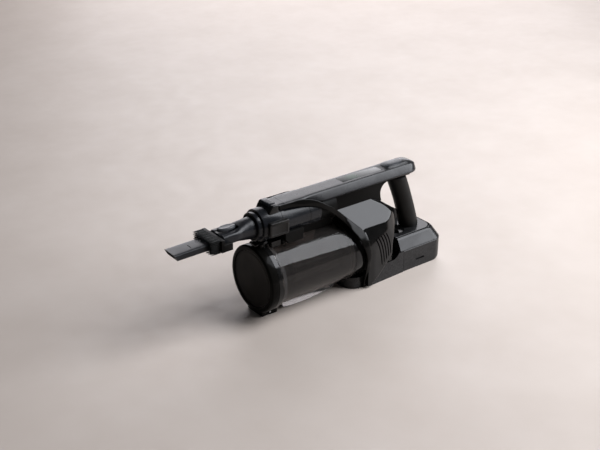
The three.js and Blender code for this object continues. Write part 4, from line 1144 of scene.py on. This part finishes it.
def nozzle_section(x, half_width, half_height, centre_z, power):
    """A cross-section between an oval and a rounded box. The higher the power, the squarer it is."""
    ring = []
    for i in range(72):
        angle = 2 * pi * (i + 0.5) / 72
        place = (cos(angle), sin(angle))
        across, up = [copysign(abs(share) ** (2 / power), share) for share in place]
        ring.append((x, half_width * across, centre_z + half_height * up))
    return ring


def build_nozzle():
    root = [(28, 17, 17, 150, 2), (12, 17, 17, 150, 2), (-4, 17, 17, 150, 2), (-14, 16.6, 15.6, 150, 2.1)]
    root += [(-24, 16.8, 12.6, 150.2, 2.6), (-34, 18, 9.4, 150.4, 3.6), (-46, 18, 8.9, 150.3, 4.4)]
    root += [(-58.6, 18, 8.4, 150.2, 5)]
    stations = curve_through(root, 42)
    stations += [(-59.2, 17.6, 8.1, 150.1, 5), (-61.5, 15.4, 6.8, 148, 5), (-75, 15.2, 6.3, 147.4, 5)]
    stations += [(-90, 15, 5.9, 147, 5), (-120, 15, 5.6, 146.8, 5.5), (NOZZLE_TIP, 15, 5.4, 146.6, 6)]
    body = lofted("crevice_nozzle", [nozzle_section(*one) for one in stations])
    inner = []
    for i, (x, half_width, half_height, z, power) in enumerate(stations):
        reach = 6 if i == 0 else -6 if i == len(stations) - 1 else 0
        inner.append(nozzle_section(x + reach, half_width - 1.7, half_height - 1.7, z, power))
    cut(
        body,
        lofted("inside", inner),
        side_plate("slanted_tip", [(-150, 130), (-129.5, 130), (-142, 153), (-150, 153)], -30, 30),
        block("slit", -110, -108.6, -7, 3, 150, 160),
        block("button_seat", -74, -26, -8.6, 8.6, 157.6, 170),
    )
    place_piece(body, "nozzle", NOZZLE_GREY, "nozzle_body")

    rings = [(160.4, 15.6, 7.6), (162.8, 15.6, 7.6), (163.6, 15.3, 7.4), (164.3, 14.4, 6.7)]
    rings += [(164.8, 12.6, 5.4), (164.6, 11, 4.4), (164.3, 8, 3), (164.2, 3, 1)]
    button = lofted("nozzle_release_oval", [level_ellipse(-43.5, z, a, b, 56) for z, a, b in rings])
    place_piece(button, "nozzle_release", BUTTON_SILVER, "nozzle_button", angle=50)


def tuft(number, y, z):
    """Three rings of a thin leaning spike with a frayed tip. Its number varies how it leans."""
    root_x, tip_x = -69.2, -86.6
    sway = 0.5 * sin(number * 2.39)
    droop = 0.45 * cos(number * 1.71)
    reach = 1.4 * (0.5 + 0.5 * sin(number * 4.77))
    rings = []
    for share, radius in ((0, 0.6), (0.55, 0.64), (1, 0.3)):
        x = root_x + (tip_x + reach - root_x) * share
        ring = []
        for k in range(5):
            angle = 2 * pi * k / 5 + number
            across = y + sway * share**2 + radius * cos(angle)
            ring.append((x, across, z + droop * share**2 + radius * sin(angle)))
        rings.append(ring)
    return rings


def build_brush():
    frame_bar = block("brush_carrier", -69, -63.4, -27, 27, 138.6, 157.8)
    for side, _ in SIDES:
        join(frame_bar, block("arm", -66, -50, *on_side(side, 21, 27.5), 139.2, 150))
    round_edges(frame_bar, 0.8)
    cut(frame_bar, block("bore", -95, -40, -16, 16, 140.4, 155.6))
    place_piece(frame_bar, "brush", DEEP_BLACK_AND_PAINTED_SHADE, "brush_frame")

    points = []
    faces = []
    pitch = 1.55
    number = 0
    for row in range(14):
        z = 138.4 + row * pitch
        for column in range(31):
            y = -23.3 + column * pitch + (0.4 if row % 2 else -0.4)
            if abs(y) < 17 and 139.4 < z < 156.6:
                continue  # the nozzle goes through here
            number += 1
            rings = tuft(number, y, z)
            faces += skin(rings, start=len(points))
            points += [point for ring in rings for point in ring]
    tufts = new_piece("bristle_tufts", points, faces)
    place_piece(tufts, "brush", BRISTLE, "brush_bristles", angle=80)


# CAD nodes that stay.

INNER_LOOKS = {
    "cyclone_shroud": SCREEN,
    "bin_top_block": GLOSS_BLACK,
    "cyclone_port": DEEP_BLACK_AND_PAINTED_SHADE,
}
EDGE_WIDTHS = {
    "bin_top_block": 1.4,
    "cyclone_port": 0.8,
    "base_shell": 0.5,
    "battery_top": 0.5,
    "charge_socket": 0.4,
}


def dress_cad_nodes():
    slots = {row["node"]: row["material_slot"] for row in frame["record"]["subparts"]}
    for name, node in frame["nodes"].items():
        if node.hide_render:
            continue
        node.data.materials.clear()
        node.data.materials.append(INNER_LOOKS.get(name, SLOT_LOOKS[slots[name]]))
        shade(node, SOFT_ANGLE)
        if name in EDGE_WIDTHS:
            bevel(node, EDGE_WIDTHS[name], 3, 34).harden_normals = True


# Floor, lights and camera.


def build_floor():
    size = 6.0
    mesh = bpy.data.meshes.new("floor")
    corners = [(-size, -size, 0), (size, -size, 0), (size, size, 0), (-size, size, 0)]
    mesh.from_pydata(corners, [], [(0, 1, 2, 3)])
    floor = new_object("floor", mesh)
    material, tree, shader = shader_tree("pale_floor")
    stops = [(0.3, (0.49, 0.425, 0.375)), (0.7, (0.535, 0.47, 0.42))]
    surface(tree, shader, ramp(tree, noise(tree, 6, 4), stops), smudges(tree, 30, 4, 0.5, 0.62))
    bump(tree, shader, noise(tree, 700, 2), 0.03)
    mesh.materials.append(material)


def set_up(name, data, place, right, up, back):
    """A light or camera at a place, with its three axes."""
    made = new_object(name, data)
    turn = Matrix((right, up, back)).transposed().to_4x4()
    made.matrix_world = Matrix.Translation(place) @ turn
    return made


def softbox(name, direction, distance, width, height, power, colour):
    """A rectangular light that faces the middle of the object from a direction."""
    target = (cad_box[0] + cad_box[1]) / 2
    away = Vector(direction).normalized()
    side = Vector((0, 0, 1)).cross(away).normalized()
    lamp = bpy.data.lights.new(name, "AREA")
    lamp.shape = "RECTANGLE"
    lamp.size = width
    lamp.size_y = height
    lamp.energy = power
    lamp.color = colour
    set_up(name, lamp, target + away * distance, side, away.cross(side), away)


def build_lights():
    softbox("main_softbox", (0.659, -0.42, 0.624), 2.0, 1.3, 2.2, 84, (0.93, 0.95, 1.0))
    softbox("rear_softbox", (0.60, 0.70, 0.40), 2.6, 2.2, 2.0, 44, (0.98, 0.96, 1.0))
    world = bpy.data.worlds.new("studio")
    world.use_nodes = True
    background = world.node_tree.nodes["Background"]
    set_levels(background, {"Color": (0.9, 0.93, 1.0, 1), "Strength": 0.06})
    bpy.context.scene.world = world


def build_camera():
    data = bpy.data.cameras.new("camera")
    data.lens = 63.96
    data.sensor_width = 36
    data.clip_end = 50
    right = Vector((0.7944, -0.6074, 0.0)).normalized()
    forward = Vector((0.5459, 0.714, -0.4384)).normalized()
    place = at(-812.75, -1185.46, 853.9)
    bpy.context.scene.camera = set_up("camera", data, place, right, right.cross(forward), -forward)
    bpy.context.scene.view_settings.view_transform = "Standard"


build_camera()
build_floor()
build_lights()
build_bin()
build_lid()
build_latch()
build_inlet()
build_side_covers()
build_spine()
build_spring()
build_hood()
build_neck()
build_bands()
build_cowl()
build_cover()
build_battery()
build_grip()
build_nozzle()
build_brush()
dress_cad_nodes()
